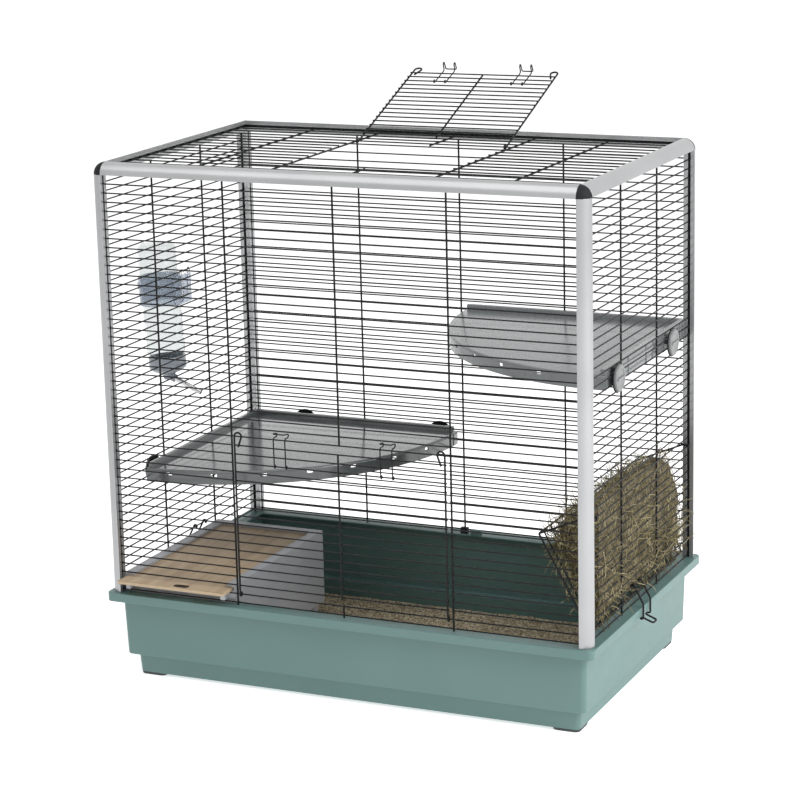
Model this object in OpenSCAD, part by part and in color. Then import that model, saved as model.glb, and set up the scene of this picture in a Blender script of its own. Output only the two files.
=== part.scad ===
// Cage for ferrets: a moulded tub, a frame of quarter-round aluminium profile with
// welded wire grilles, two wire doors, two corner shelves, a nest box, a hay rack
// and a drinking bottle. Millimetres. The origin is under the middle of the tub,
// X runs to the right of the front, Y runs to the back and Z runs up.
// The roof door is drawn thrown back and the front door is drawn shut.

/* [Tub] */
// Width of the tub over its rim
tub_w = 800; // [740:10:1000]
// Depth of the tub over its rim
tub_d = 500; // [480:10:640]
// Height of the tub to the top of its rim
tub_h = 140; // [115:5:160]
// Wall thickness of the tub
tub_wall = 3; // [2:0.5:5]
// Height of the band that the rim shows
rim_h = 14; // [10:1:20]
// How far the rim stands out past the top of the tub's walls
rim_w = 17; // [14:1:22]
// How far the top of the rim reaches in past the walls
ledge_w = 9; // [6:1:12]
// How much the walls lean in from the rim to the step, on each side
wall_lean = 3; // [2:1:8]
// Height of the step near the foot of the walls
step_h = 35; // [25:1:50]
// How far the walls step in below it
step_in = 12; // [4:1:18]
// Height of the moulded feet
foot_h = 4; // [2:1:6]
// Corner radius of the rim
rim_r = 9; // [6:1:20]
// Depth of the litter on the tub's floor
litter_h = 7; // [4:1:14]
// Height of the litter heaped beside the nest box
heap_h = 46; // [34:1:60]
// How far that heap spreads from the nest box
heap_w = 120; // [60:5:140]

/* [Frame] */
// Height of the frame above the tub
frame_h = 670; // [560:10:860]
// How far the rim stands out past the frame, on each side
rim_reach = 5; // [4:1:9]
// Size of the quarter-round profile
profile = 18; // [17:1:21]
// Width of the groove that holds a grille's edge wire
groove_w = 4.4; // [3.8:0.2:5]
// Depth of that groove
groove_d = 6; // [5:0.5:6.5]
// Bore along the profile that takes the corner spigots
channel_d = 5; // [3:0.5:5]
// Length of the corner spigots
spigot_l = 12; // [8:1:20]

/* [Grilles] */
// Thin cross wires
wire_thin = 2.2; // [1.8:0.1:2.6]
// Thick uprights and edge wires
wire_thick = 3; // [2.6:0.1:3.2]
// Spacing of the cross wires on the walls
row_pitch = 13.75; // [13:0.25:15]
// Height of the lowest cross wire above the tub
row_start = 5; // [4:0.5:8]
// Middle of the front and rear to the next upright
bay_w = 178; // [170:1:190]
// Middle of a side to its uprights
side_bay = 80; // [74:1:86]
// Spacing of the cross wires on the roof
roof_pitch = 27; // [25:0.5:28]
// Middle of the roof to the bars beside the opening
roof_bay = 132; // [120:1:150]
// Middle of the roof to its outer bars
roof_bar = 254; // [240:1:270]

/* [Doors] */
// Cross wires from the hinge of a door to the wire that its latches hook over
door_rows = 18; // [16:2:20]
// How far the roof door is thrown back from shut, in degrees
roof_open = 159; // [95:1:165]
// Clear gap between a door's side wires and the uprights beside it
door_gap = 4; // [3:0.5:6]
// Radius of the curled ends of a door's side wires
curl_r = 6; // [4:0.5:7]
// Latch wire
latch_d = 2; // [1.6:0.1:2.2]
// Width of a latch
latch_w = 19; // [14:1:26]
// Middle of the front door's pair of latches to each of them
front_latch_x = 87; // [50:1:120]
// How far that pair sits off the middle of the front door
front_latch_shift = -9; // [-20:1:20]
// Middle of the roof door's pair of latches to each of them
roof_latch_x = 67; // [40:1:90]
// How far that pair sits off the middle of the roof door
roof_latch_shift = 3; // [-20:1:20]

/* [Shelves] */
// Radius of the quarter-round shelves
shelf_r = 372; // [300:4:396]
// Thickness of a shelf's top and skirt
shelf_wall = 3; // [2:0.5:4]
// Height of a shelf's skirt
skirt_h = 21.5; // [20:0.5:30]
// Height of the border that a shelf has along both walls
border_h = 8.5; // [4:0.5:14]
// Gap between cross wires, counted from the lowest, that clamps the lower shelf
lower_row = 11; // [11:1:16]
// Gap between cross wires, counted from the lowest, that clamps the upper shelf
upper_row = 26; // [22:1:32]
// Corner of a shelf to its first clamp
clamp_near = 92; // [60:1:96]
// Corner of a shelf to its second clamp
clamp_far = 338; // [330:1:344]
// Diameter of a clamp's disc
clamp_d = 44; // [36:1:50]
// Diameter of a clamp's shank
shank_d = 7; // [5:0.5:8]

/* [Nest box] */
// Width of the nest box
nest_w = 192; // [160:1:198]
// Depth of the nest box
nest_d = 305; // [220:5:340]
// Wall thickness of the nest box
nest_wall = 3; // [2:0.5:4]
// Height of the underside of the nest box above the table
nest_base = 50; // [46:1:60]
// Width of the lips that hold the lid down
nest_lip = 15; // [8:1:20]
// Thickness of the plywood lid
lid_t = 5; // [3:0.5:6]
// How far the lid reaches out of the front grille
lid_reach = 26; // [18:1:40]
// Diameter of the hole that the animals go in by
nest_hole = 76; // [50:1:80]

/* [Hay rack] */
// How far the rack's top rail stands out from the wall
rack_out = 82; // [50:1:100]
// How far the hay stands out from the wall at its top
hay_out = 62; // [40:1:70]
// Depth of the rack along the wall
rack_l = 420; // [300:5:430]
// Cross wire that the rack hangs on, counted from the lowest
rack_row = 13; // [11:1:16]
// Height from the hanging wire down to the top rail
rack_drop = 31; // [20:1:40]
// Height of the rack's foot above the tub's rim
rack_foot = 12; // [8:1:20]
// Spacing of the rack's wires
rack_pitch = 27.5; // [20:0.5:35]
// Depth of the hay along the wall
hay_l = 340; // [200:5:360]

/* [Bottle] */
// Diameter of the bottle
bottle_d = 62; // [50:1:64]
// Height of the bottle above its cap
bottle_h = 184; // [140:1:220]
// Wall thickness of the bottle
bottle_wall = 1.5; // [1:0.25:2.5]
// How far the bottle leans away from the cage, in degrees
bottle_lean = 3.5; // [1:0.5:5]
// Gap between cross wires, counted from the lowest, that the spout goes through
spout_row = 19; // [18:1:22]
// Outside diameter of the spout
spout_d = 8; // [6:0.5:8]
// Bore of the spout
spout_bore = 6.4; // [4:0.2:6.4]
// How far the spout reaches inside the grille
spout_reach = 26; // [15:1:40]
// How steeply the spout points down, in degrees
spout_fall = 23; // [15:1:27]
// Height of the strap round the bottle
strap_h = 46; // [25:1:60]

/* [Hidden] */

$fn = 48;
WIRE_FN = 16;
HULL_FN = 32;
EPS = 0.01;
// Clear gap where one wire turns round another
run_gap = 0.15;
// Clear gap between pieces that lie against each other
seat_gap = 0.3;
// How deep welded wires sink into each other
weld = 0.2;
// How much an elbow swells where a wire bends
elbow = 0.1;

// Colours
teal = [0.44, 0.57, 0.55];
silver = [0.80, 0.81, 0.83];
charcoal = [0.16, 0.17, 0.18];
black_wire = [0.11, 0.12, 0.12];
shelf_grey = [0.62, 0.65, 0.66];
nest_grey = [0.58, 0.59, 0.63];
plywood = [0.78, 0.66, 0.47];
litter_tan = [0.60, 0.49, 0.34];
hay_olive = [0.52, 0.46, 0.30];
smoke_blue = [0.66, 0.74, 0.82, 0.45];
cap_blue = [0.45, 0.52, 0.60];
steel = [0.74, 0.74, 0.75];
seal_white = [0.85, 0.85, 0.83];

// Frame, measured from the tub
frame_w = tub_w - 2 * rim_reach;
frame_d = tub_d - 2 * rim_reach;
frame_top = tub_h + frame_h;
post_top = frame_top - profile;
// Outer face of the frame to the middle of the cross wires
wire_in = profile / 2;
// Outer face of the frame to the middle of an edge wire in its groove
edge_in = profile - groove_d + wire_thick / 2 + 0.4;
// Cross wires to the uprights welded on their inner side
upright_in = (wire_thin + wire_thick) / 2 - weld;
// Outer face of the frame to the inner face of the uprights
wall_in = wire_in + upright_in + wire_thick / 2;
wall_x = frame_w / 2 - wall_in;
wall_y = frame_d / 2 - wall_in;
wire_x = frame_w / 2 - wire_in;
wire_y = frame_d / 2 - wire_in;
upright_top = post_top - 0.5;
rows = floor((frame_h - profile - row_start - 3) / row_pitch) + 1;
function row_z(k) = tub_h + row_start + row_pitch * k;

// Channel for the spigots, on the diagonal of the profile
channel_skin = 1.6;
channel_at = profile - (profile - channel_d / 2 - channel_skin) / sqrt(2);
spigot_d = channel_d - 0.2;

// Tub
wall_in_x = tub_w / 2 - rim_w - tub_wall;
wall_in_y = tub_d / 2 - rim_w - tub_wall;
// Half the opening inside the ledge
tub_in_x = wall_in_x - ledge_w;
tub_in_y = wall_in_y - ledge_w;
foot_in = 2;
floor_z = foot_h + tub_wall;
low_in_x = wall_in_x - wall_lean - step_in - foot_in;
low_in_y = wall_in_y - wall_lean - step_in - foot_in;

// Doors, in their own frame: hinge wire on X, door along Y, outside towards Z
hinge_r = (wire_thin + wire_thick) / 2 + run_gap;
door_row_out = hinge_r - upright_in;
hinge_row = 1;
front_half = bay_w - door_gap - wire_thick;
roof_half = roof_bay - door_gap - wire_thick;
roof_door_pitch = roof_pitch / 2;
roof_edge_y = roof_door_pitch * door_rows / 2;
latch_row = door_rows - 3;
latch_r = (wire_thin + latch_d) / 2 + run_gap;

// Shelves
clamp_drop = 9.5;
lower_top = row_z(lower_row + 0.5) + clamp_drop;
upper_top = row_z(upper_row + 0.5) + clamp_drop;
slot_w = 10;
slot_h = 5;
slot_top = 4.5;
slot_start = 15;
slot_step = 11.5;
slot_count = 7;
border_w = 9;
rib_t = 1.2;
rib_start = 30;
rib_pitch = 80;
// Cut-out at a shelf's corner, round the frame's post
post_notch = profile - wall_in - seat_gap + 0.6;
boss_l = 8;
nut_l = 6;

// Nest box: its collar rests on the tub's rim and its lid on a cross wire
lid_z = row_z(1) + wire_thin / 2 + seat_gap;
lid_gap = 1.5;
body_gap = 6;
nest_x = -wall_x + 6;
nest_y = -wall_y + 2;
nest_top = lid_z + lid_t + 0.4 + 4;
body_in_x = -tub_in_x + body_gap;
body_in_y = -tub_in_y + body_gap;
leg_d = 14;

// Hay rack
rack_x = wall_x - wire_thick / 2 - 3;
rack_top_z = row_z(rack_row) - rack_drop;
rack_foot_z = tub_h + rack_foot;
rack_y = -200;
hook_r = wire_thin / 2 + wire_thick / 2 + run_gap;

// Bottle, in its own frame: axis along Z from the nose of the cap
spout_z = row_z(spout_row + 0.5);
nose_x = -wire_x - bottle_d / 2 - 0.5;
nose_y = 7;
nose_z = spout_z + (nose_x + wire_x) * -tan(spout_fall) - 4;
cap_h = 36;
neck_r = bottle_d / 2 - 4;
neck_z = cap_h - 14;
seal_t = 2;
strap_z = 122;
strap_gap = 0.4;
strap_t = 2.5;
hook_row = 33;

// ---- Shared shapes ----

module rounded_plate(w, d, r, h) {
  linear_extrude(h) {
    square([w - 2 * r, d], center = true);
    square([w, d - 2 * r], center = true);
    for (x = [-1, 1], y = [-1, 1])
      translate([x * (w / 2 - r), y * (d / 2 - r)]) circle(r = r);
  }
}

// A box with rounded corners that widens from (w1, d1) at z1 to (w2, d2) at z2
module tapered_box(z1, w1, d1, z2, w2, d2, r) {
  hull() {
    translate([0, 0, z1]) rounded_plate(w1, d1, r, EPS, $fn = HULL_FN);
    translate([0, 0, z2 - EPS]) rounded_plate(w2, d2, r, EPS, $fn = HULL_FN);
  }
}

// A straight round bar between two points
module bar(a, b, d) {
  v = b - a;
  l = norm(v);
  tilt = acos(v[2] / l);
  turn = atan2(v[1], v[0]);
  translate(a) rotate([0, tilt, turn]) cylinder(h = l, d = d, $fn = WIRE_FN);
}

// A bent wire through a list of points, with round elbows and ends
module bent_wire(points, d) {
  for (i = [0:len(points) - 2]) bar(points[i], points[i + 1], d);
  for (p = points) translate(p) sphere(d = d + elbow, $fn = WIRE_FN);
}

// Part of a ring of wire round the X axis, from angle a towards b in the Y-Z plane
module hook_arc(r, d, a, b) {
  rotate([90, 0, 90]) rotate([0, 0, a])
    rotate_extrude(angle = b - a) translate([r, 0]) circle(d = d, $fn = WIRE_FN);
}

module wire_along_x(l, d) {
  rotate([0, 90, 0]) cylinder(h = l, d = d, center = true, $fn = WIRE_FN);
}

// Puts a shape drawn at the frame's front left corner into another corner
module in_corner(right, rear) {
  mirror([right, 0, 0]) mirror([0, rear, 0])
    translate([-frame_w / 2, -frame_d / 2, 0]) children();
}

// ---- Tub ----

module base_tub() {
  top_x = tub_w / 2 - rim_w;
  top_y = tub_d / 2 - rim_w;
  step_x = top_x - wall_lean;
  step_y = top_y - wall_lean;
  low_x = step_x - step_in;
  low_y = step_y - step_in;
  in_r = rim_r - tub_wall;
  color(teal) {
    difference() {
      union() {
        tapered_box(foot_h, 2 * (low_x - foot_in), 2 * (low_y - foot_in),
                    step_h, 2 * low_x, 2 * low_y, rim_r);
        tapered_box(step_h - EPS, 2 * step_x, 2 * step_y, tub_h - EPS, 2 * top_x, 2 * top_y, rim_r);
        tub_rim(top_x, top_y);
        tub_feet(low_x - foot_in, low_y - foot_in);
        for (x = [0, 1], y = [0, 1]) in_corner(x, y)
          translate([channel_at, channel_at, tub_h - 1]) cylinder(h = spigot_l + 1, d = spigot_d);
      }
      tapered_box(floor_z, 2 * low_in_x, 2 * low_in_y,
                  step_h + tub_wall, 2 * (low_in_x + foot_in), 2 * (low_in_y + foot_in), in_r);
      tapered_box(step_h + tub_wall - EPS, 2 * (step_x - tub_wall), 2 * (step_y - tub_wall),
                  tub_h - tub_wall, 2 * wall_in_x, 2 * wall_in_y, in_r);
      translate([0, 0, tub_h - tub_wall - 1])
        rounded_plate(2 * tub_in_x, 2 * tub_in_y, rim_r, tub_wall + 2);
    }
    rear_tab();
  }
}

// The band round the top, open underneath round the walls
module tub_rim(top_x, top_y) {
  lip = 3;
  difference() {
    translate([0, 0, tub_h - rim_h]) rounded_plate(tub_w, tub_d, rim_r, rim_h);
    translate([0, 0, tub_h - rim_h - 1]) difference() {
      rounded_plate(tub_w - 2 * lip, tub_d - 2 * lip, rim_r - lip, rim_h + 1 - lip);
      rounded_plate(2 * top_x, 2 * top_y, rim_r, rim_h + 1);
    }
  }
}

// Pads under the corners and the middle of the floor
module tub_feet(half_x, half_y) {
  pad = 44;
  for (x = [-1, 1], y = [-1, 1]) translate([x * (half_x - pad / 2), y * (half_y - pad / 2), 0])
    rounded_plate(pad, pad, rim_r, foot_h + 1);
  rounded_plate(pad, pad, rim_r, foot_h + 1);
}

// A tab on the rear of the rim, beside the middle upright, that keeps the grille in place
module rear_tab() {
  tab_w = 20;
  tab_h = 9;
  translate([14, tub_in_y, tub_h - tub_wall]) cube([tab_w, 4, tab_h + tub_wall]);
}

// The litter lies on the floor and is heaped under and beside the nest box
module litter() {
  x = low_in_x - 0.5;
  y = low_in_y - 0.5;
  low = floor_z + seat_gap;
  side = nest_x + nest_w;
  under = nest_base - 6;
  color(litter_tan) difference() {
    intersection() {
      union() {
        translate([0, 0, low]) rounded_plate(2 * x, 2 * y, rim_r, litter_h);
        translate([0, nest_y + nest_d - 20, 0]) rotate([90, 0, 0])
          linear_extrude(nest_d - 40) polygon([
            [side - heap_w, low], [side - heap_w * 0.9, low + (under - low) * 0.7],
            [side - heap_w * 0.5, under], [side + 0.5, under], [side + 0.5, low + heap_h],
            [side + heap_w * 0.3, low + heap_h * 0.8], [side + heap_w * 0.7, low + heap_h * 0.3],
            [side + heap_w, low]]);
      }
      translate([0, 0, low]) rounded_plate(2 * x, 2 * y, rim_r, tub_h);
    }
    nest_legs(leg_d + 1, nest_base + 20);
  }
}

// ---- Frame ----

// Quarter-round profile with its outer corner at the origin
module profile_shape() {
  difference() {
    intersection() {
      translate([profile, profile]) circle(r = profile);
      square(profile);
    }
    translate([profile - groove_d, wire_in - groove_w / 2]) square([groove_d + 1, groove_w]);
    translate([wire_in - groove_w / 2, profile - groove_d]) square([groove_w, groove_d + 1]);
    translate([channel_at, channel_at]) circle(d = channel_d);
  }
}

module post(right, rear) {
  color(silver) in_corner(right, rear)
    translate([0, 0, tub_h]) linear_extrude(post_top - tub_h) profile_shape();
}

module rail_across(rear) {
  l = frame_w - 2 * profile;
  color(silver) mirror([0, rear, 0]) translate([-l / 2, -frame_d / 2, frame_top])
    mirror([0, 0, 1]) rotate([90, 0, 90]) linear_extrude(l) profile_shape();
}

module rail_along(right) {
  l = frame_d - 2 * profile;
  color(silver) mirror([right, 0, 0]) translate([-frame_w / 2, l / 2, frame_top])
    mirror([0, 0, 1]) rotate([90, 0, 0]) linear_extrude(l) profile_shape();
}

// Ball corner that closes a post and two rails, with a spigot into each and the
// profile's grooves carried on, for the corners of the grilles
module corner_cap(right, rear) {
  low = profile - channel_at;
  groove = wire_in - groove_w / 2;
  open = profile - groove_d;
  color(charcoal) in_corner(right, rear) translate([0, 0, post_top]) {
    difference() {
      intersection() {
        translate([profile, profile, 0]) sphere(r = profile);
        cube(profile);
      }
      translate([open, groove, -1]) cube([groove_d + 1, groove_w, groove_d + 1]);
      translate([groove, open, -1]) cube([groove_w, groove_d + 1, groove_d + 1]);
      translate([open, open, profile - wire_in - groove_w / 2])
        cube([groove_d + 1, groove_d + 1, groove_w]);
    }
    translate([channel_at, channel_at, -spigot_l]) cylinder(h = spigot_l + 2, d = spigot_d);
    translate([profile - 2, channel_at, low]) rotate([0, 90, 0])
      cylinder(h = spigot_l + 2, d = spigot_d);
    translate([channel_at, profile - 2, low]) rotate([-90, 0, 0])
      cylinder(h = spigot_l + 2, d = spigot_d);
  }
}

// ---- Grilles ----

// A wall grille in the X-Z plane, with its uprights towards +Y
module wall_grille(half, uprights) {
  edge = half - edge_in;
  edge_z = frame_top - edge_in;
  for (k = [0:rows - 1]) translate([0, 0, row_z(k)]) wire_along_x(2 * edge, wire_thin);
  edge_frame(edge, edge_z);
  for (x = uprights) upright(x, tub_h + seat_gap, upright_top);
}

module edge_frame(edge, edge_z) {
  for (x = [-edge, edge]) bar([x, 0, tub_h + seat_gap], [x, 0, edge_z], wire_thick);
  translate([0, 0, edge_z]) wire_along_x(2 * edge + wire_thick, wire_thick);
}

module upright(x, from, to) {
  bar([x, upright_in, from], [x, upright_in, to], wire_thick);
}

// The front wall, with a doorway between its two uprights
module grille_front() {
  edge = frame_w / 2 - edge_in;
  stop = bay_w - 1;
  sill = row_z(hinge_row);
  lintel = hinge_row + door_rows;
  color(black_wire) translate([0, -wire_y, 0]) union() {
    for (k = [0:rows - 1]) translate([0, 0, row_z(k)])
      if (k > hinge_row && k < lintel)
        for (s = [-1, 1]) bar([s * edge, 0, 0], [s * stop, 0, 0], wire_thin);
      else wire_along_x(2 * edge, wire_thin);
    edge_frame(edge, frame_top - edge_in);
    for (x = [-bay_w, bay_w]) upright(x, tub_h + seat_gap, upright_top);
    upright(0, tub_h + seat_gap, sill + 1);
    upright(0, row_z(lintel) - 1, upright_top);
  }
}

module grille_rear() {
  color(black_wire) rotate([0, 0, 180]) translate([0, -wire_y, 0]) union()
    wall_grille(frame_w / 2, [-bay_w, 0, bay_w]);
}

module grille_left() {
  color(black_wire) rotate([0, 0, -90]) translate([0, -wire_x, 0]) union()
    wall_grille(frame_d / 2, [-side_bay, side_bay]);
}

module grille_right() {
  color(black_wire) rotate([0, 0, 90]) translate([0, -wire_x, 0]) union()
    wall_grille(frame_d / 2, [-side_bay, side_bay]);
}

// The roof, with an opening between its two inner bars
module grille_roof() {
  edge_x = frame_w / 2 - edge_in;
  edge_y = frame_d / 2 - edge_in;
  reach = frame_d / 2 - profile - 0.5;
  half_rows = floor((reach - 2) / roof_pitch + 0.5);
  phase = roof_edge_y - roof_pitch * round(roof_edge_y / roof_pitch - 0.5);
  stop = roof_bay - 1;
  color(black_wire) translate([0, 0, frame_top - wire_in]) union() {
    for (k = [-half_rows:half_rows]) {
      y = phase + roof_pitch * k;
      if (abs(y) < reach) translate([0, y, 0])
        if (abs(y) < roof_edge_y - 1)
          for (s = [-1, 1]) bar([s * edge_x, 0, 0], [s * stop, 0, 0], wire_thin);
        else wire_along_x(2 * edge_x, wire_thin);
    }
    for (x = [-edge_x, edge_x]) bar([x, -edge_y, 0], [x, edge_y, 0], wire_thick);
    for (y = [-edge_y, edge_y]) translate([0, y, 0]) wire_along_x(2 * edge_x, wire_thick);
    for (x = [-roof_bar, -roof_bay, roof_bay, roof_bar])
      bar([x, -reach, -upright_in], [x, reach, -upright_in], wire_thick);
    for (s = [-1, 1])
      bar([0, s * reach, -upright_in], [0, s * (roof_edge_y - 1), -upright_in], wire_thick);
  }
}

// A block on the foot of the rear grille's middle upright
module rear_clip() {
  slit = wire_thick + 0.3;
  y = wire_y - upright_in;
  color(charcoal) difference() {
    translate([-6, wall_y - 5, tub_h + seat_gap]) cube([12, 8, 9]);
    translate([0, y, tub_h]) cylinder(h = 30, d = slit);
    translate([-slit / 2, y, tub_h]) cube([slit, 12, 30]);
    translate([0, wire_y, row_z(0)]) wire_along_x(30, wire_thin + 0.5);
  }
}

// ---- Doors ----

// A wire door: side wires that hook round the hinge wire and curl at the top
module wire_door(half, pitch, first_row) {
  top = pitch * door_rows + 0.5;
  for (i = [first_row:door_rows - 1])
    translate([0, pitch * i, door_row_out]) wire_along_x(2 * half + wire_thick, wire_thin);
  bar([0, pitch * first_row - 3, hinge_r], [0, pitch * (door_rows - 1) + 1.5, hinge_r], wire_thick);
  for (s = [0, 1]) mirror([s, 0, 0]) translate([-half, 0, 0]) {
    bar([0, 0, hinge_r], [0, top, hinge_r], wire_thick);
    hook_arc(hinge_r, wire_thick, 90, 340);
    translate([curl_r, top, hinge_r]) rotate_extrude(angle = 180)
      translate([curl_r, 0]) circle(d = wire_thick, $fn = WIRE_FN);
    bent_wire([[2 * curl_r, top, hinge_r], [curl_r, top - 16, hinge_r]], wire_thick);
  }
}

// A wire latch that turns on a door's cross wire and hooks over the next grille wire
module wire_latch(x, pitch) {
  reach = pitch * 3;
  half = latch_w / 2;
  side = [[0, latch_r], [reach + 0.5, latch_r + 0.7], [reach + 3.2, 1], [reach + 3.2, -7],
          [reach + 5.4, -10.5], [reach + 8.2, -8.5], [reach + 9.6, -1], [reach + 9.8, 4]];
  last = len(side) - 1;
  left = [for (p = side) [-half, p[0], p[1]]];
  right = [for (i = [last:-1:0]) [half, side[i][0], side[i][1]]];
  translate([x, pitch * latch_row, door_row_out]) {
    for (s = [-half, half]) translate([s, 0, 0]) hook_arc(latch_r, latch_d, 90, 330);
    bent_wire(concat(left, right), latch_d);
  }
}

module on_front_hinge() {
  translate([0, -wire_y, row_z(hinge_row)]) rotate([90, 0, 0]) children();
}

module on_roof_hinge() {
  translate([0, roof_edge_y, frame_top - wire_in]) rotate([0, 0, 180])
    rotate([roof_open, 0, 0]) children();
}

module front_door() {
  color(black_wire) on_front_hinge() union() wire_door(front_half, row_pitch, 1);
}

module roof_door() {
  color(black_wire) on_roof_hinge() union() wire_door(roof_half, roof_door_pitch, 2);
}

module front_latch(side) {
  color(black_wire) on_front_hinge() union() wire_latch(front_latch_shift + side * front_latch_x, row_pitch);
}

module roof_latch(side) {
  color(black_wire) on_roof_hinge() union()
    wire_latch(-roof_latch_shift - side * roof_latch_x, roof_door_pitch);
}

// ---- Clips that hold the frame down on the tub ----

// Drawn for the right side, round a cross wire, with its foot under the rim
module base_clip(y) {
  clip_w = 32;
  row = 2;
  px = wire_x;
  pz = row_z(row);
  rim_x = tub_w / 2 + wire_thick / 2 + 1;
  rim_z = tub_h - rim_h - wire_thick / 2 - 2;
  tab = 8;
  a = y - clip_w / 2;
  b = y + clip_w / 2;
  out_x = px + hook_r;
  for (s = [a, b]) translate([px, s, pz]) rotate([0, 0, -90])
    hook_arc(hook_r, wire_thick, 0, 250);
  bent_wire([
    [out_x, a, pz], [rim_x, a, tub_h + 6], [rim_x, a, rim_z],
    [rim_x - 5, a, rim_z], [rim_x - 5, a + tab, rim_z], [rim_x + 13, a + tab, rim_z - 7],
    [rim_x + 13, b - tab, rim_z - 7], [rim_x - 5, b - tab, rim_z], [rim_x - 5, b, rim_z],
    [rim_x, b, rim_z], [rim_x, b, tub_h + 6], [out_x, b, pz]], wire_thick);
}

module base_clip_right() {
  color(black_wire) union() base_clip(-20);
}

module base_clip_left() {
  color(black_wire) mirror([1, 0, 0]) union() base_clip(32);
}

// ---- Shelves ----

// Quarter-round shelf with its corner at the origin and its top at z = 0
module corner_shelf() {
  edge_r = 4;
  inner = shelf_r - rib_t - 1;
  color(shelf_grey) difference() {
    union() {
      rotate_extrude(angle = 90, $fn = 96) {
        translate([0, -shelf_wall]) square([shelf_r - edge_r, shelf_wall]);
        translate([shelf_r - shelf_wall, -skirt_h]) square([shelf_wall, skirt_h - edge_r]);
        intersection() {
          translate([shelf_r - edge_r, -edge_r]) circle(r = edge_r);
          translate([shelf_r - edge_r, -edge_r]) square(edge_r);
        }
      }
      for (m = [0, 1]) mirror([m, -m, 0]) {
        translate([rib_t, rib_t, -skirt_h]) cube([inner, shelf_wall, skirt_h - 0.5]);
        shelf_border();
        for (d = [rib_start:rib_pitch:shelf_r - 30])
          translate([d, 0, -skirt_h]) cube([3, rib_t + 1, skirt_h + border_h - 2]);
        for (d = [clamp_near, clamp_far]) translate([d, rib_t, -clamp_drop])
          rotate([-90, 0, 0]) cylinder(h = boss_l, d = shank_d + 6);
      }
    }
    for (m = [0, 1], d = [clamp_near, clamp_far]) mirror([m, -m, 0])
      translate([d, -1, -clamp_drop]) rotate([-90, 0, 0]) cylinder(h = 20, d = shank_d + 0.2);
    translate([-1, -1, -skirt_h - 1])
      cube([post_notch + 1, post_notch + 1, skirt_h + border_h + 2]);
    for (i = [0:slot_count - 1]) rotate([0, 0, slot_start + slot_step * i])
      translate([shelf_r - 10, -slot_w / 2, -slot_top - slot_h]) cube([20, slot_w, slot_h]);
  }
}

// Raised border along the X axis, rounded off at its outer end
module shelf_border() {
  l = shelf_r - rib_t - 3;
  r = min(5, border_h - 0.5);
  translate([rib_t, rib_t + border_w, -1]) rotate([90, 0, 0]) linear_extrude(border_w) {
    square([l - r, border_h + 1]);
    square([l, border_h + 1 - r]);
    translate([l - r, border_h + 1 - r]) circle(r = r);
  }
}

// A shelf's corner lies against the inner faces of two grilles
module in_shelf_corner(right, top) {
  mirror([right, 0, 0])
    translate([-wall_x + seat_gap, wall_y - seat_gap, top]) mirror([0, 1, 0]) children();
}

// A clamp at distance d along the rear grille (wall 0) or the side grille (wall 1)
module clamp_place(d, wall) {
  if (wall == 0) translate([d, 0, -clamp_drop]) rotate([90, 0, 0]) children();
  else translate([0, d, -clamp_drop]) rotate([0, -90, 0]) rotate([0, 0, 90]) children();
}

// A disc outside the grille, with a shank that goes in between two cross wires
module clamp() {
  face = wall_in - wire_in + wire_thin / 2 + seat_gap;
  inner = rib_t + boss_l + nut_l + 2;
  dome_r = 3;
  color(shelf_grey) {
    translate([0, 0, face + seat_gap]) rotate_extrude() {
      square([clamp_d / 2 - dome_r, 6]);
      square([clamp_d / 2, 6 - dome_r]);
      intersection() {
        translate([clamp_d / 2 - dome_r, 6 - dome_r]) circle(r = dome_r);
        square([clamp_d, 20]);
      }
    }
    translate([-clamp_d / 2 + 6, -2, face + seat_gap + 5]) cube([clamp_d - 12, 4, 4]);
    translate([0, 0, -inner]) cylinder(h = inner + face + 2, d = shank_d);
  }
}

module clamp_nut() {
  color(shelf_grey) translate([0, 0, -rib_t - boss_l - nut_l - 0.1]) difference() {
    cylinder(h = nut_l, d = shank_d + 4.5, $fn = 6);
    translate([0, 0, -1]) cylinder(h = nut_l + 2, d = shank_d + 0.2);
  }
}

module lower_shelf() { in_shelf_corner(0, lower_top) corner_shelf(); }
module upper_shelf() { in_shelf_corner(1, upper_top) corner_shelf(); }
module lower_clamp(d, wall) { in_shelf_corner(0, lower_top) clamp_place(d, wall) clamp(); }
module upper_clamp(d, wall) { in_shelf_corner(1, upper_top) clamp_place(d, wall) clamp(); }

module lower_nuts() {
  in_shelf_corner(0, lower_top) {
    clamp_place(clamp_near, 0) clamp_nut();
    clamp_place(clamp_far, 0) clamp_nut();
    clamp_place(clamp_far, 1) clamp_nut();
  }
}

module upper_nuts() {
  in_shelf_corner(1, upper_top) {
    clamp_place(clamp_near, 1) clamp_nut();
    clamp_place(clamp_far, 1) clamp_nut();
  }
}

// ---- Nest box ----

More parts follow.
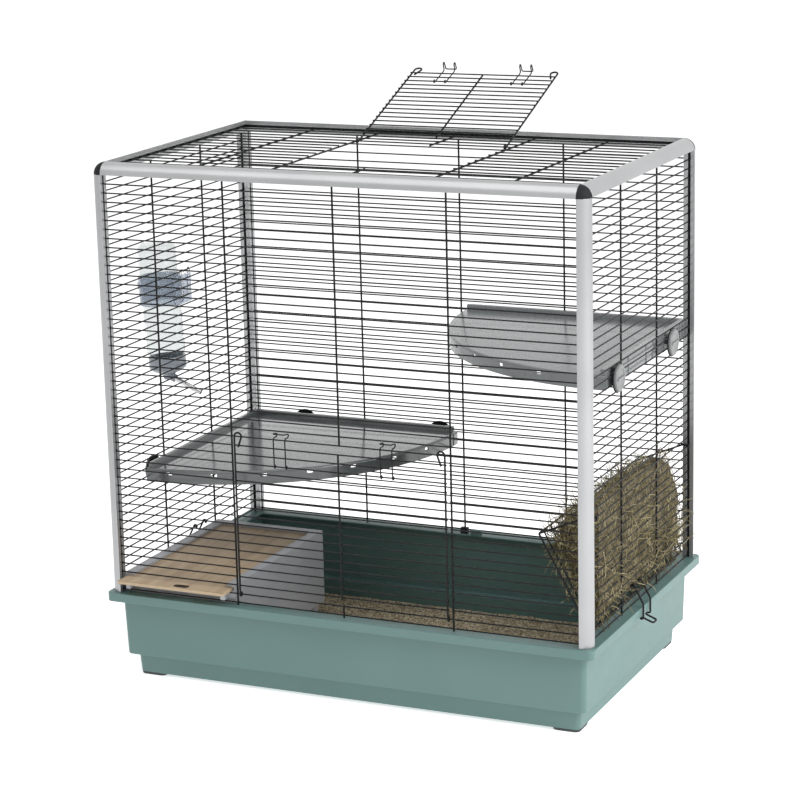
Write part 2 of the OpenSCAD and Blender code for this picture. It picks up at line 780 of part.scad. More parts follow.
// A box whose collar rests on the tub's rim, open at the top under a sliding lid
module nest_box() {
  collar_z = tub_h + seat_gap;
  right = nest_x + nest_w;
  rear = nest_y + nest_d;
  t = nest_wall;
  ledge_z = lid_z - seat_gap;
  color(nest_grey) difference() {
    union() {
      translate([nest_x, nest_y, collar_z]) cube([nest_w, nest_d, nest_top - collar_z]);
      translate([body_in_x, body_in_y, nest_base])
        cube([right - body_in_x, rear - body_in_y, collar_z - nest_base + 1]);
      nest_legs(leg_d, nest_base + 1);
    }
    // under the collar
    translate([nest_x + t, nest_y + t, collar_z - 1])
      cube([body_in_x - nest_x - t, nest_d, ledge_z - t - collar_z + 1]);
    translate([nest_x + t, nest_y + t, collar_z - 1])
      cube([nest_w - 2 * t, body_in_y - nest_y - t, ledge_z - t - collar_z + 1]);
    // room inside
    translate([body_in_x + t, body_in_y + t, nest_base + t])
      cube([right - body_in_x - 2 * t, rear - body_in_y - 2 * t, ledge_z - nest_base - t - 4]);
    translate([body_in_x + t, body_in_y + t, ledge_z - 6])
      cube([right - body_in_x - 3 * t - 3, rear - body_in_y - 3 * t - 3, 10]);
    // groove for the lid, open at the front
    translate([nest_x + t, nest_y - 1, ledge_z])
      cube([nest_w - 2 * t, nest_d - t + 1, nest_top - 4 - ledge_z]);
    // open top between the lips
    translate([nest_x + nest_lip, nest_y - 1, ledge_z])
      cube([nest_w - 2 * nest_lip, nest_d - nest_lip + 1, 40]);
    // way in, at the rear
    translate([(body_in_x + right) / 2, rear - t - 1, (nest_base + ledge_z) / 2])
      rotate([-90, 0, 0]) cylinder(h = t + 2, d = nest_hole);
  }
}

// Four round legs that stand on the tub's floor
module nest_legs(d, top) {
  for (x = [-low_in_x + leg_d, nest_x + nest_w - leg_d], y = [-low_in_y + leg_d, nest_y + nest_d - leg_d])
    translate([x, y, floor_z + seat_gap]) cylinder(h = top - floor_z - seat_gap, d = d);
}

module nest_lid() {
  l = nest_d - nest_wall - 2 * lid_gap + lid_reach + nest_y + wire_y;
  w = nest_w - 2 * nest_wall - 2 * lid_gap;
  hole_l = 26;
  hole_w = 12;
  translate([nest_x + nest_wall + lid_gap, -wire_y - lid_reach, lid_z]) color(plywood) difference() {
    cube([w, l, lid_t]);
    translate([w / 2 + 14, hole_w / 2 + 5, -1]) linear_extrude(lid_t + 2) {
      square([hole_l - hole_w, hole_w], center = true);
      for (s = [-1, 1]) translate([s * (hole_l - hole_w) / 2, 0]) circle(d = hole_w);
    }
  }
}

// ---- Hay rack ----

module hay_rack() {
  x_top = wall_x - rack_out;
  y2 = rack_y + rack_l;
  hook_z = row_z(rack_row);
  hang_z = hook_z + hook_r;
  bend = hook_r * tan(22.5);
  count = floor(rack_l / rack_pitch);
  margin = (rack_l - rack_pitch * (count - 1)) / 2;
  hook = [[wire_x + hook_r, hook_z - 3.5], [wire_x + hook_r, hook_z + bend],
          [wire_x + bend, hang_z], [wall_x - 3, hang_z], [x_top, rack_top_z]];
  front = [for (p = hook) [p[0], rack_y, p[1]]];
  rear = [for (i = [len(hook) - 1:-1:0]) [hook[i][0], y2, hook[i][1]]];
  color(black_wire) union() {
    bent_wire(concat(front, rear), wire_thick);
    bent_wire([
      [x_top, rack_y, rack_top_z], [rack_x, rack_y, rack_foot_z],
      [rack_x, y2, rack_foot_z], [x_top, y2, rack_top_z]], wire_thick);
    for (i = [0:count - 1]) let (y = rack_y + margin + rack_pitch * i)
      bar([x_top, y, rack_top_z], [rack_x, y, rack_foot_z], wire_thin);
  }
}

// Hay between the rack and the wall, rising above the top rail
module hay() {
  gap = 3;
  top_z = rack_top_z + 42;
  right = wall_x - seat_gap - 0.4;
  lean = (rack_x - wall_x + rack_out) / (rack_top_z - rack_foot_z);
  low_z = rack_foot_z + 22;
  low_x = rack_x - lean * (low_z - rack_foot_z) + gap;
  high_x = wall_x - hay_out;
  color(hay_olive) translate([0, rack_y + 30 + hay_l, 0]) rotate([90, 0, 0])
    linear_extrude(hay_l) polygon([
      [right, low_z], [low_x, low_z],
      [high_x, rack_top_z - 10], [high_x, rack_top_z + 12], [high_x + 14, top_z - 8],
      [high_x + 34, top_z], [right, top_z - 6]]);
}

// ---- Bottle ----

module on_bottle_axis() {
  translate([nose_x, nose_y, nose_z]) rotate([0, -bottle_lean, 0]) children();
}

// The spout's own frame: origin where it leaves the cap, Z towards its tip
module on_spout() {
  translate([nose_x, nose_y, spout_z - (nose_x + wire_x) * tan(spout_fall)])
    rotate([0, 90 + spout_fall, 0]) children();
}

spout_l = (-nose_x - wire_x + spout_reach) / cos(spout_fall);

module bottle_body() {
  r = bottle_d / 2;
  top = cap_h + bottle_h;
  t = bottle_wall;
  round_r = 9;
  outer = [for (i = [0:4]) let (a = 22.5 * i)
    [r - round_r + round_r * cos(a), top - round_r + round_r * sin(a)]];
  inner = [for (i = [4:-1:0]) let (a = 22.5 * i, q = round_r - t)
    [r - round_r + q * cos(a), top - round_r + q * sin(a)]];
  color(smoke_blue) on_bottle_axis() rotate_extrude($fn = 96) polygon(concat(
    [[neck_r, neck_z], [neck_r, cap_h + 2], [r, cap_h + 8]], outer, [[0, top], [0, top - t]],
    inner, [[r - t, cap_h + 8 + t / 2], [neck_r - t, cap_h + 2 + t / 2], [neck_r - t, neck_z]]));
}

module bottle_cap() {
  r = bottle_d / 2 - 1;
  seat_z = neck_z - seal_t;
  color(cap_blue) difference() {
    union() {
      on_bottle_axis() rotate_extrude() polygon([
        [0, -2], [8.5, -2], [9, 3], [12, 7], [r - 6, seat_z - 8], [r, seat_z - 3], [r, cap_h],
        [0, cap_h]]);
      on_spout() translate([0, 0, -2]) cylinder(h = 15, d = spout_d + 5);
    }
    on_bottle_axis() translate([0, 0, seat_z]) cylinder(h = cap_h, r = neck_r + 0.15);
    on_bottle_axis() translate([0, 0, 4]) cylinder(h = cap_h, r = 5);
    on_spout() translate([0, 0, -0.5]) cylinder(h = 20, d = spout_d + 0.1);
  }
}

module bottle_seal() {
  color(seal_white) on_bottle_axis() translate([0, 0, neck_z - seal_t]) difference() {
    cylinder(h = seal_t - 0.1, r = neck_r - 0.3);
    translate([0, 0, -1]) cylinder(h = seal_t + 2, r = neck_r - bottle_wall - 4);
  }
}

module spout_tube() {
  lip = 1;
  color(steel) on_spout() difference() {
    cylinder(h = spout_l, d = spout_d);
    translate([0, 0, -1]) cylinder(h = spout_l + 1 - lip, d = spout_bore);
    cylinder(h = spout_l + 1, d = spout_bore - 1.4);
  }
}

// The ball rests on the lip at the spout's tip
module spout_ball() {
  d = spout_bore - 0.2;
  r_lip = spout_bore / 2 - 0.7;
  rise = sqrt(pow(d / 2 + 0.05, 2) - pow(r_lip, 2));
  color(steel) on_spout() translate([0, 0, spout_l - 1 - rise]) sphere(d = d);
}

// A strap round the bottle with a plate that lies against the left grille
module bottle_holder() {
  plate_t = 3;
  plate_x = -wire_x - wire_thin / 2 - latch_d - 0.7;
  inner_r = bottle_d / 2 + strap_gap;
  outer_r = inner_r + strap_t;
  mid = nose_z + strap_z + strap_h / 2;
  bar_z = row_z(hook_row) - 40;
  color(smoke_blue) difference() {
    union() {
      on_bottle_axis() translate([0, 0, strap_z]) cylinder(h = strap_h, r = outer_r);
      on_bottle_axis() translate([-outer_r - 5, -4, strap_z + strap_h / 2]) cube([8, 8, 12]);
      translate([plate_x - plate_t, nose_y - 16, mid - strap_h / 2])
        cube([plate_t, 52, strap_h]);
      translate([plate_x - 14, nose_y - 14, mid - strap_h / 2 + 4]) cube([13, 28, strap_h - 8]);
      translate([plate_x - 1, nose_y + 8, bar_z - 4]) cube([latch_d + 1.2, 10, 8]);
    }
    on_bottle_axis() translate([0, 0, strap_z - 20]) cylinder(h = strap_h + 40, r = inner_r);
    translate([-wire_x - hook_pin_r(), nose_y, bar_z]) rotate([-90, 0, 0])
      cylinder(h = 40, d = latch_d + 0.3, $fn = WIRE_FN);
  }
}

function hook_pin_r() = (wire_thin + latch_d) / 2 + run_gap;

// A bent wire that hangs the holder on a cross wire
module holder_hook() {
  x = -wire_x - hook_pin_r();
  z = row_z(hook_row);
  a = nose_y + 3;
  b = nose_y + 23;
  color(steel) union() {
    bent_wire([[x, a, z], [x, a, z - 40], [x, b, z - 40], [x, b, z]], latch_d);
    for (y = [a, b]) translate([-wire_x, y, z]) rotate([0, 0, 90])
      hook_arc(hook_pin_r(), latch_d, 0, 240);
  }
}

base_tub();
litter();
post(0, 0);  // post_front_left
post(1, 0);  // post_front_right
post(0, 1);  // post_rear_left
post(1, 1);  // post_rear_right
rail_across(0);  // rail_front
rail_across(1);  // rail_rear
rail_along(0);  // rail_left
rail_along(1);  // rail_right
corner_cap(0, 0);  // cap_front_left
corner_cap(1, 0);  // cap_front_right
corner_cap(0, 1);  // cap_rear_left
corner_cap(1, 1);  // cap_rear_right
grille_front();
grille_rear();
grille_left();
grille_right();
grille_roof();
rear_clip();
front_door();
front_latch(-1);  // front_latch_left
front_latch(1);  // front_latch_right
roof_door();
roof_latch(-1);  // roof_latch_left
roof_latch(1);  // roof_latch_right
base_clip_left();
base_clip_right();
lower_shelf();
lower_clamp(clamp_near, 0);  // lower_clamp_left
lower_clamp(clamp_far, 0);  // lower_clamp_middle
lower_clamp(clamp_far, 1);  // lower_clamp_side
lower_nuts();
upper_shelf();
upper_clamp(clamp_far, 1);  // upper_clamp_front
upper_clamp(clamp_near, 1);  // upper_clamp_rear
upper_nuts();
nest_box();
nest_lid();
hay_rack();
hay();
bottle_body();
bottle_cap();
bottle_seal();
spout_tube();
spout_ball();
bottle_holder();
holder_hook();
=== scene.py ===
import math
import random

import bmesh
import bpy
from mathutils import Matrix, Vector, noise


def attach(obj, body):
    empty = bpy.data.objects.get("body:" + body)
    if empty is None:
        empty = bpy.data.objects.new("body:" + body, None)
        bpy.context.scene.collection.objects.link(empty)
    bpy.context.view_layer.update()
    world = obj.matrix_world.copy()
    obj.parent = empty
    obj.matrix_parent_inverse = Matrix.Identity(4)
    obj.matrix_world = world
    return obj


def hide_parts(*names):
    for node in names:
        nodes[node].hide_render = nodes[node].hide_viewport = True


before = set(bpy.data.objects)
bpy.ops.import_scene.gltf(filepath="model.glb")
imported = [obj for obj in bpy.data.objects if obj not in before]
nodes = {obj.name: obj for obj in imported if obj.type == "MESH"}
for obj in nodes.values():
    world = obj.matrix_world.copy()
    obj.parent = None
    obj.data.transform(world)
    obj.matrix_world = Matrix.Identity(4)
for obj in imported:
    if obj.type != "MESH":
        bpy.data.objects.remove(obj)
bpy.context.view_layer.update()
scene = bpy.context.scene
random.seed(7)
noise.seed_set(7)
tubTop = 0.140
wireSides = 12
print("frame loaded:", len(nodes), "nodes")


def newMaterial(name):
    material = bpy.data.materials.new(name)
    material.use_nodes = True
    tree = material.node_tree
    return material, tree, tree.nodes["Principled BSDF"]


def setInputs(shader, values):
    for key, value in values.items():
        shader.inputs[key].default_value = value


def addNode(tree, kind, links=(), **values):
    made = tree.nodes.new(kind)
    for key, value in values.items():
        if hasattr(made, key):
            setattr(made, key, value)
        else:
            made.inputs[key.replace("_", " ")].default_value = value
    for socket, source in links:
        tree.links.new(source, made.inputs[socket])
    return made


def placeCoords(tree, scale=(1, 1, 1)):
    coords = addNode(tree, "ShaderNodeTexCoord")
    return addNode(tree, "ShaderNodeMapping", [("Vector", coords.outputs["Object"])],
                   Scale=scale).outputs["Vector"]


def noiseOn(tree, vector, scale, detail=4, rough=0.5):
    return addNode(tree, "ShaderNodeTexNoise", [("Vector", vector)],
                   Scale=scale, Detail=detail, Roughness=rough).outputs["Fac"]


def rampOn(tree, source, stops):
    ramp = addNode(tree, "ShaderNodeValToRGB", [("Fac", source)])
    band = ramp.color_ramp
    while len(band.elements) < len(stops):
        band.elements.new(0.5)
    for element, (where, color) in zip(band.elements, stops):
        element.position = where
        element.color = (*color, 1)
    return ramp.outputs["Color"]


def tintOn(tree, shader, source, stops):
    tree.links.new(rampOn(tree, source, stops), shader.inputs["Base Color"])


def bumpOn(tree, shader, height, strength, distance):
    bump = addNode(tree, "ShaderNodeBump", [("Height", height)], Strength=strength, Distance=distance)
    tree.links.new(bump.outputs["Normal"], shader.inputs["Normal"])


def spreadOn(tree, shader, source, low, high):
    spread = addNode(tree, "ShaderNodeMapRange", [("Value", source)], To_Min=low, To_Max=high)
    tree.links.new(spread.outputs["Result"], shader.inputs["Roughness"])


def mouldedPlastic(name, dark, light, rough, grain, coat=0.0, clear=0.0, gloss=0.5):
    # two close tones that drift over the piece, a fine moulded grain and uneven gloss
    material, tree, shader = newMaterial(name)
    place = placeCoords(tree)
    tintOn(tree, shader, noiseOn(tree, place, scale=6, detail=3), [(0.3, dark), (0.7, light)])
    spreadOn(tree, shader, noiseOn(tree, place, scale=40, detail=5), rough - 0.06, rough + 0.06)
    bumpOn(tree, shader, noiseOn(tree, place, scale=1400, detail=2), grain, distance=0.0004)
    setInputs(shader, {"Specular IOR Level": gloss, "Coat Weight": coat, "Coat Roughness": 0.12,
                       "Transmission Weight": clear, "IOR": 1.46})
    return material


def coatedWire():
    # satin powder coat: an orange-peel bump and slightly worn gloss
    material, tree, shader = newMaterial("coatedWire")
    place = placeCoords(tree)
    peel = noiseOn(tree, place, scale=900, detail=3)
    tintOn(tree, shader, noiseOn(tree, place, scale=35),
           [(0.35, (0.004, 0.0043, 0.0044)), (0.7, (0.009, 0.0094, 0.0095))])
    spreadOn(tree, shader, peel, low=0.38, high=0.52)
    setInputs(shader, {"Specular IOR Level": 0.2})
    bumpOn(tree, shader, peel, strength=0.25, distance=0.0003)
    return material


def drawnAluminium(name, along):
    # anodised profile: fine drawing lines that run along it
    material, tree, shader = newMaterial(name)
    stretch = [260, 260, 260]
    stretch[along] = 1.5
    lines = noiseOn(tree, placeCoords(tree, stretch), scale=6, detail=6, rough=0.65)
    tintOn(tree, shader, noiseOn(tree, placeCoords(tree), scale=9, detail=3),
           [(0.3, (0.34, 0.345, 0.35)), (0.7, (0.385, 0.39, 0.395))])
    setInputs(shader, {"Metallic": 0.7})
    spreadOn(tree, shader, lines, low=0.26, high=0.36)
    bumpOn(tree, shader, lines, strength=0.10, distance=0.0002)
    return material


def plyFace():
    # birch ply: long wavy grain on the faces and thin layers on the edges
    material, tree, shader = newMaterial("plyFace")
    wander = addNode(tree, "ShaderNodeTexNoise", [("Vector", placeCoords(tree, (14, 3, 1)))],
                     Scale=1.0, Detail=3)
    bent = addNode(tree, "ShaderNodeVectorMath", [(0, placeCoords(tree, (60, 2.2, 60)))], operation="ADD")
    tree.links.new(wander.outputs["Color"], bent.inputs[1])
    grain = noiseOn(tree, bent.outputs["Vector"], scale=1.6, detail=8, rough=0.62)
    faceTone = rampOn(tree, grain, [(0.30, (0.36, 0.25, 0.15)), (0.5, (0.48, 0.36, 0.23)),
                                    (0.72, (0.58, 0.455, 0.31))])
    layers = addNode(tree, "ShaderNodeTexWave", [("Vector", placeCoords(tree))], bands_direction="Z",
                     wave_profile="SIN", Scale=190.0, Distortion=0.6, Detail=1.0)
    edgeTone = rampOn(tree, layers.outputs["Fac"], [(0.25, (0.28, 0.195, 0.115)), (0.6, (0.56, 0.44, 0.29))])
    normal = addNode(tree, "ShaderNodeNewGeometry")
    split = addNode(tree, "ShaderNodeSeparateXYZ", [("Vector", normal.outputs["True Normal"])])
    flat = addNode(tree, "ShaderNodeMath", [(0, split.outputs["Z"])], operation="ABSOLUTE")
    mix = addNode(tree, "ShaderNodeMix", [("Factor", flat.outputs["Value"])], data_type="RGBA")
    tree.links.new(edgeTone, mix.inputs["A"])
    tree.links.new(faceTone, mix.inputs["B"])
    tree.links.new(mix.outputs["Result"], shader.inputs["Base Color"])
    spreadOn(tree, shader, grain, low=0.45, high=0.62)
    bumpOn(tree, shader, grain, strength=0.25, distance=0.0004)
    return material


def speckled(name, stops, size, rough, depth):
    # loose stuff, and the painted shade in the lid's hole: a tone of its own for every small cell
    material, tree, shader = newMaterial(name)
    place = placeCoords(tree)
    cells = addNode(tree, "ShaderNodeTexVoronoi", [("Vector", place)], Scale=size)
    tone = addNode(tree, "ShaderNodeSeparateColor", [("Color", cells.outputs["Color"])])
    tintOn(tree, shader, tone.outputs["Red"], stops)
    setInputs(shader, {"Roughness": rough})
    bumpOn(tree, shader, noiseOn(tree, place, scale=size * 3), strength=0.6, distance=depth)
    return material


def clearPlastic(name, tint, rough, clear, bend):
    material, tree, shader = newMaterial(name)
    place = placeCoords(tree)
    setInputs(shader, {"Base Color": (*tint, 1), "Transmission Weight": clear, "IOR": bend})
    spreadOn(tree, shader, noiseOn(tree, place, scale=60), rough, rough + 0.06)
    bumpOn(tree, shader, noiseOn(tree, place, scale=45, detail=3), strength=0.15, distance=0.0006)
    return material


def brightSteel():
    material, tree, shader = newMaterial("brightSteel")
    lines = noiseOn(tree, placeCoords(tree, (300, 300, 300)), scale=4)
    tintOn(tree, shader, lines, [(0.3, (0.45, 0.45, 0.46)), (0.7, (0.58, 0.58, 0.59))])
    setInputs(shader, {"Metallic": 1.0})
    spreadOn(tree, shader, lines, low=0.16, high=0.30)
    bumpOn(tree, shader, lines, strength=0.05, distance=0.0002)
    return material


tubTeal = mouldedPlastic("tubTeal", (0.102, 0.187, 0.178), (0.113, 0.201, 0.190), rough=0.42, grain=0.25)
# painted shade: the feet are moulded with the tub, and this dark tone stands for the shadowed gap under it
feetPaintedShade = mouldedPlastic("feetPaintedShade", (0.03, 0.034, 0.036), (0.04, 0.044, 0.046), rough=0.6, grain=0.3)
capCharcoal = mouldedPlastic("capCharcoal", (0.013, 0.014, 0.015), (0.020, 0.021, 0.022),
                             rough=0.55, grain=0.35, gloss=0.12)
# one shelf plastic in two copies: the lower one darker as painted shade, the upper one lighter as painted
# light
shelfGreyPaintedShade = mouldedPlastic("shelfGreyPaintedShade", (0.075, 0.084, 0.087), (0.092, 0.101, 0.104),
                           rough=0.16, grain=0.03, coat=1.0)
shelfGreyPaintedLight = mouldedPlastic("shelfGreyPaintedLight", (0.145, 0.158, 0.162), (0.168, 0.181, 0.185),
                           rough=0.26, grain=0.03, coat=0.4)
discGrey = mouldedPlastic("discGrey", (0.155, 0.163, 0.163), (0.185, 0.193, 0.193), rough=0.34, grain=0.2)
nestGrey = mouldedPlastic("nestGrey", (0.37, 0.38, 0.41), (0.42, 0.43, 0.455), rough=0.38, grain=0.25)
capBlue = mouldedPlastic("capBlue", (0.30, 0.335, 0.38), (0.35, 0.385, 0.43),
                         rough=0.25, grain=0.1, coat=0.3, clear=0.35)
sealWhite = mouldedPlastic("sealWhite", (0.6, 0.6, 0.58), (0.68, 0.68, 0.66), rough=0.6, grain=0.2)
strapBlue = clearPlastic("strapBlue", (0.50, 0.55, 0.62), rough=0.2, clear=0.75, bend=1.12)
bottleClear = clearPlastic("bottleClear", (0.80, 0.82, 0.82), rough=0.04, clear=1.0, bend=1.2)
wireBlack = coatedWire()
postMetal = drawnAluminium("postMetal", 2)
railMetalX = drawnAluminium("railMetalX", 0)
railMetalY = drawnAluminium("railMetalY", 1)
steel = brightSteel()
ply = plyFace()
# painted shade: a near black tone for the wall of the lid's hole
holePaintedShade = speckled("holePaintedShade", [(0.2, (0.012, 0.008, 0.005)), (0.8, (0.030, 0.019, 0.011))],
                    size=500, rough=0.9, depth=0.0004)
litterTone = speckled("litterTone", [(0.05, (0.14, 0.11, 0.072)), (0.35, (0.36, 0.29, 0.19)),
                                     (0.7, (0.60, 0.50, 0.34)), (0.95, (0.82, 0.73, 0.54))],
                      size=420, rough=0.85, depth=0.001)
hayTone = speckled("hayTone", [(0.05, (0.080, 0.065, 0.028)), (0.4, (0.185, 0.155, 0.068)),
                               (0.75, (0.26, 0.217, 0.113)), (0.95, (0.43, 0.375, 0.215))],
                   size=70, rough=0.8, depth=0.0008)
hayShade = speckled("hayShade", [(0.1, (0.045, 0.036, 0.019)), (0.6, (0.105, 0.087, 0.047)),
                                 (0.95, (0.19, 0.158, 0.09))],
                    size=240, rough=0.95, depth=0.002)
print("materials made")


def newObject(name, data):
    made = bpy.data.objects.new(name, data)
    scene.collection.objects.link(made)
    return made


def meshOf(bm, name, crease=180):
    bmesh.ops.recalc_face_normals(bm, faces=bm.faces)
    for face in bm.faces:
        face.smooth = True
    for edge in bm.edges:
        edge.smooth = edge.calc_face_angle(0) < math.radians(crease)
    mesh = bpy.data.meshes.new(name)
    bm.to_mesh(mesh)
    bm.free()
    return mesh


def finishPiece(bm, name, body, replaced, slotName, *materials, place=None, crease=35, merge=True):
    if place:
        bmesh.ops.transform(bm, matrix=place, verts=bm.verts)
    if merge:
        bmesh.ops.remove_doubles(bm, verts=bm.verts, dist=1e-6)
    piece = newObject(name, meshOf(bm, name, crease))
    for material in materials:
        piece.data.materials.append(material)
    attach(piece, body)
    if replaced:
        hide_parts(*replaced)
    return piece


def straightWire(bm, a, b, thick):
    a, b = Vector(a), Vector(b)
    lay = (b - a).to_track_quat("Z", "Y").to_matrix().to_4x4()
    lay.translation = (a + b) / 2
    bmesh.ops.create_cone(bm, cap_ends=True, segments=wireSides, radius1=thick / 2, radius2=thick / 2,
                          depth=(b - a).length, matrix=lay)


def pushEdges(bm, edges, move):
    made = bmesh.ops.extrude_edge_only(bm, edges=edges)["geom"]
    fresh = {g for g in made if isinstance(g, bmesh.types.BMVert)}
    bmesh.ops.translate(bm, verts=list(fresh), vec=move)
    return [g for g in made if isinstance(g, bmesh.types.BMEdge) and set(g.verts) <= fresh]


def pushFaces(bm, move):
    # the first faces stay as the other end
    made = bmesh.ops.extrude_face_region(bm, geom=list(bm.faces), use_keep_orig=True)["geom"]
    bmesh.ops.translate(bm, verts=[g for g in made if isinstance(g, bmesh.types.BMVert)], vec=move)


def bentWire(bm, points, thick, bend, sides=wireSides):
    # a round wire through corner points, bent round each of them
    points = [Vector(p) for p in points]
    heading = (points[1] - points[0]).normalized()
    lay = heading.to_track_quat("Z", "Y").to_matrix().to_4x4()
    lay.translation = points[0]
    ring = bmesh.ops.create_circle(bm, cap_ends=True, segments=sides, radius=thick / 2, matrix=lay)["verts"]
    edges = list({e for v in ring for e in v.link_edges if set(e.verts) <= set(ring)})
    place = points[0]
    for i in range(1, len(points)):
        corner = points[i]
        angle = 0
        if i < len(points) - 1:
            leg = points[i + 1] - corner
            onward = leg.normalized()
            angle = heading.angle(onward)
        if angle < 0.02:
            edges = pushEdges(bm, edges, corner - place)
            place = corner
            continue
        inset = min(bend * math.tan(angle / 2), 0.49 * (corner - points[i - 1]).length, 0.49 * leg.length)
        radius = inset / math.tan(angle / 2)
        goal = corner - heading * inset
        edges = pushEdges(bm, edges, goal - place)
        aside = (onward - heading * onward.dot(heading)).normalized()
        spun = bmesh.ops.spin(bm, geom=edges + list({v for e in edges for v in e.verts}),
                              cent=goal + aside * radius, axis=heading.cross(onward).normalized(),
                              angle=angle, steps=max(1, math.ceil(angle / 0.35)))
        edges = [g for g in spun["geom_last"] if isinstance(g, bmesh.types.BMEdge)]
        place = corner + onward * inset
        heading = onward
    bmesh.ops.contextual_create(bm, geom=edges)


def arcPoints(centre, radius, start, end):
    # points 20 degrees apart on a ring about X, with angles from Y towards Z
    count = max(2, round(abs(end - start) / 20))
    turns = [math.radians(start + (end - start) * i / count) for i in range(count + 1)]
    x, y, z = centre
    return [(x, y + radius * math.cos(t), z + radius * math.sin(t)) for t in turns]


def shrink(box, inset):
    return (box[0] + inset, box[1] - inset, box[2] + inset, box[3] - inset)


def ringStack(bm, rings, segments, loop=False):
    # rounded rectangles joined one after another, closed by the first and the last
    edges, heights = [], []
    for step, (box, radius, z) in enumerate(rings):
        known = set(bm.faces)
        x0, x1, y0, y1 = box
        lay = (Matrix.Translation(((x0 + x1) / 2, (y0 + y1) / 2, step))
               @ Matrix.Diagonal(((x1 - x0) / 2, (y1 - y0) / 2, 1, 1)))
        corners = bmesh.ops.create_grid(bm, x_segments=1, y_segments=1, size=1, matrix=lay)["verts"]
        bmesh.ops.bevel(bm, geom=corners, offset=radius, offset_type="OFFSET", segments=segments, profile=0.5,
                        affect="VERTICES", material=-1, clamp_overlap=False)
        face = next(f for f in bm.faces if f not in known)
        edges.append(list(face.edges))
        heights.append((list(face.verts), z))
        if loop or 0 < step < len(rings) - 1:
            bmesh.ops.delete(bm, geom=[face], context="FACES_ONLY")
    for a, b in list(zip(edges, edges[1:])) + ([(edges[-1], edges[0])] if loop else []):
        bmesh.ops.bridge_loops(bm, edges=a + b)  # the rings lie far apart while they are joined
    for ring, z in heights:
        for vertex in ring:
            vertex.co.z = z


def nodeName(name):
    return "".join("_" + c.lower() if c.isupper() else c for c in name)


def finishWire(bm, name, body="cage", place=None):
    finishPiece(bm, name, body, [nodeName(name)], "black_coated_wire", wireBlack, place=place)


def markFaces(bm, first, slot):
    bm.faces.ensure_lookup_table()
    for face in bm.faces[first:]:
        face.material_index = slot


def addBevel(piece, width, segments, angle):
    soft = piece.modifiers.new("edges", "BEVEL")
    soft.width = width
    soft.segments = segments
    soft.limit_method = "ANGLE"
    soft.angle_limit = math.radians(angle)


def paint(material, *names):
    for name in names:
        piece = nodes[name]
        piece.data.materials.clear()
        piece.data.materials.append(material)


grille = {
    "pitch": 0.01375, "lowest": tubTop + 0.005, "rows": 47, "thin": 0.0022, "thick": 0.003,
    "weld": 0.0024, "edgeX": 0.3811, "edgeY": 0.2311, "bend": 0.003, "lap": 0.001,
    "top": tubTop + 0.6561, "foot": tubTop + 0.0003, "uprightTop": tubTop + 0.6515,
    "planeX": 0.386, "planeY": 0.236, "bays": [-0.178, 0.0, 0.178], "sideBays": [-0.08, 0.08],
    "sill": 1, "lintel": 19, "doorStop": 0.177,
}


def rowZ(k):
    return grille["lowest"] + grille["pitch"] * k


def wallGrille(name, half, uprights, plane, sideways):
    # uprights run on the inner side of the cross wires
    bm = bmesh.new()
    g = grille

    def wire(u0, z0, u1, z1, depth, thick):
        ends = ((depth, u0, z0), (depth, u1, z1)) if sideways else ((u0, depth, z0), (u1, depth, z1))
        straightWire(bm, *ends, thick)

    front = name == "grilleFront"
    for k in range(g["rows"]):
        z = rowZ(k)
        if front and g["sill"] < k < g["lintel"]:
            for s in (-1, 1):
                wire(s * half, z, s * g["doorStop"], z, plane, g["thin"])
        else:
            wire(-half, z, half, z, plane, g["thin"])
    rim = [(-half, g["foot"]), (-half, g["top"]), (half, g["top"]), (half, g["foot"])]
    bentWire(bm, [(plane, u, z) if sideways else (u, plane, z) for u, z in rim], g["thick"], g["bend"])
    for u in uprights:
        inner = plane - math.copysign(g["weld"], plane)
        spans = [(g["foot"], g["uprightTop"])]
        if front and u == 0:
            spans = [(g["foot"], rowZ(g["sill"]) + g["lap"]), (rowZ(g["lintel"]) - g["lap"], g["uprightTop"])]
        for low, high in spans:
            wire(u, low, u, high, inner, g["thick"])
    finishWire(bm, name)


wallGrille("grilleFront", grille["edgeX"], grille["bays"], -grille["planeY"], False)
wallGrille("grilleRear", grille["edgeX"], grille["bays"], grille["planeY"], False)
wallGrille("grilleLeft", grille["edgeY"], grille["sideBays"], -grille["planeX"], True)
wallGrille("grilleRight", grille["edgeY"], grille["sideBays"], grille["planeX"], True)

roof = {"plane": tubTop + 0.661, "pitch": 0.027, "first": -0.2025, "count": 16, "reach": 0.2265,
        "opening": 0.1205, "stop": 0.131, "bars": [-0.254, -0.132, 0.132, 0.254]}


def roofGrille():
    bm = bmesh.new()
    edgeX, edgeY, plane = grille["edgeX"], grille["edgeY"], roof["plane"]
    thin, thick = grille["thin"], grille["thick"]
    for k in range(roof["count"]):
        y = roof["first"] + roof["pitch"] * k
        if abs(y) < roof["opening"]:
            for s in (-1, 1):
                straightWire(bm, (s * edgeX, y, plane), (s * roof["stop"], y, plane), thin)
        else:
            straightWire(bm, (-edgeX, y, plane), (edgeX, y, plane), thin)
    low = plane - grille["weld"]
    for x in roof["bars"]:
        straightWire(bm, (x, -roof["reach"], low), (x, roof["reach"], low), thick)
    for s in (-1, 1):
        straightWire(bm, (s * edgeX, -edgeY, plane), (s * edgeX, edgeY, plane), thick)
        straightWire(bm, (-edgeX, s * edgeY, plane), (edgeX, s * edgeY, plane), thick)
        straightWire(bm, (0, s * roof["reach"], low), (0, s * roof["opening"], low), thick)
    finishWire(bm, "grilleRoof")


roofGrille()
print("grilles made")


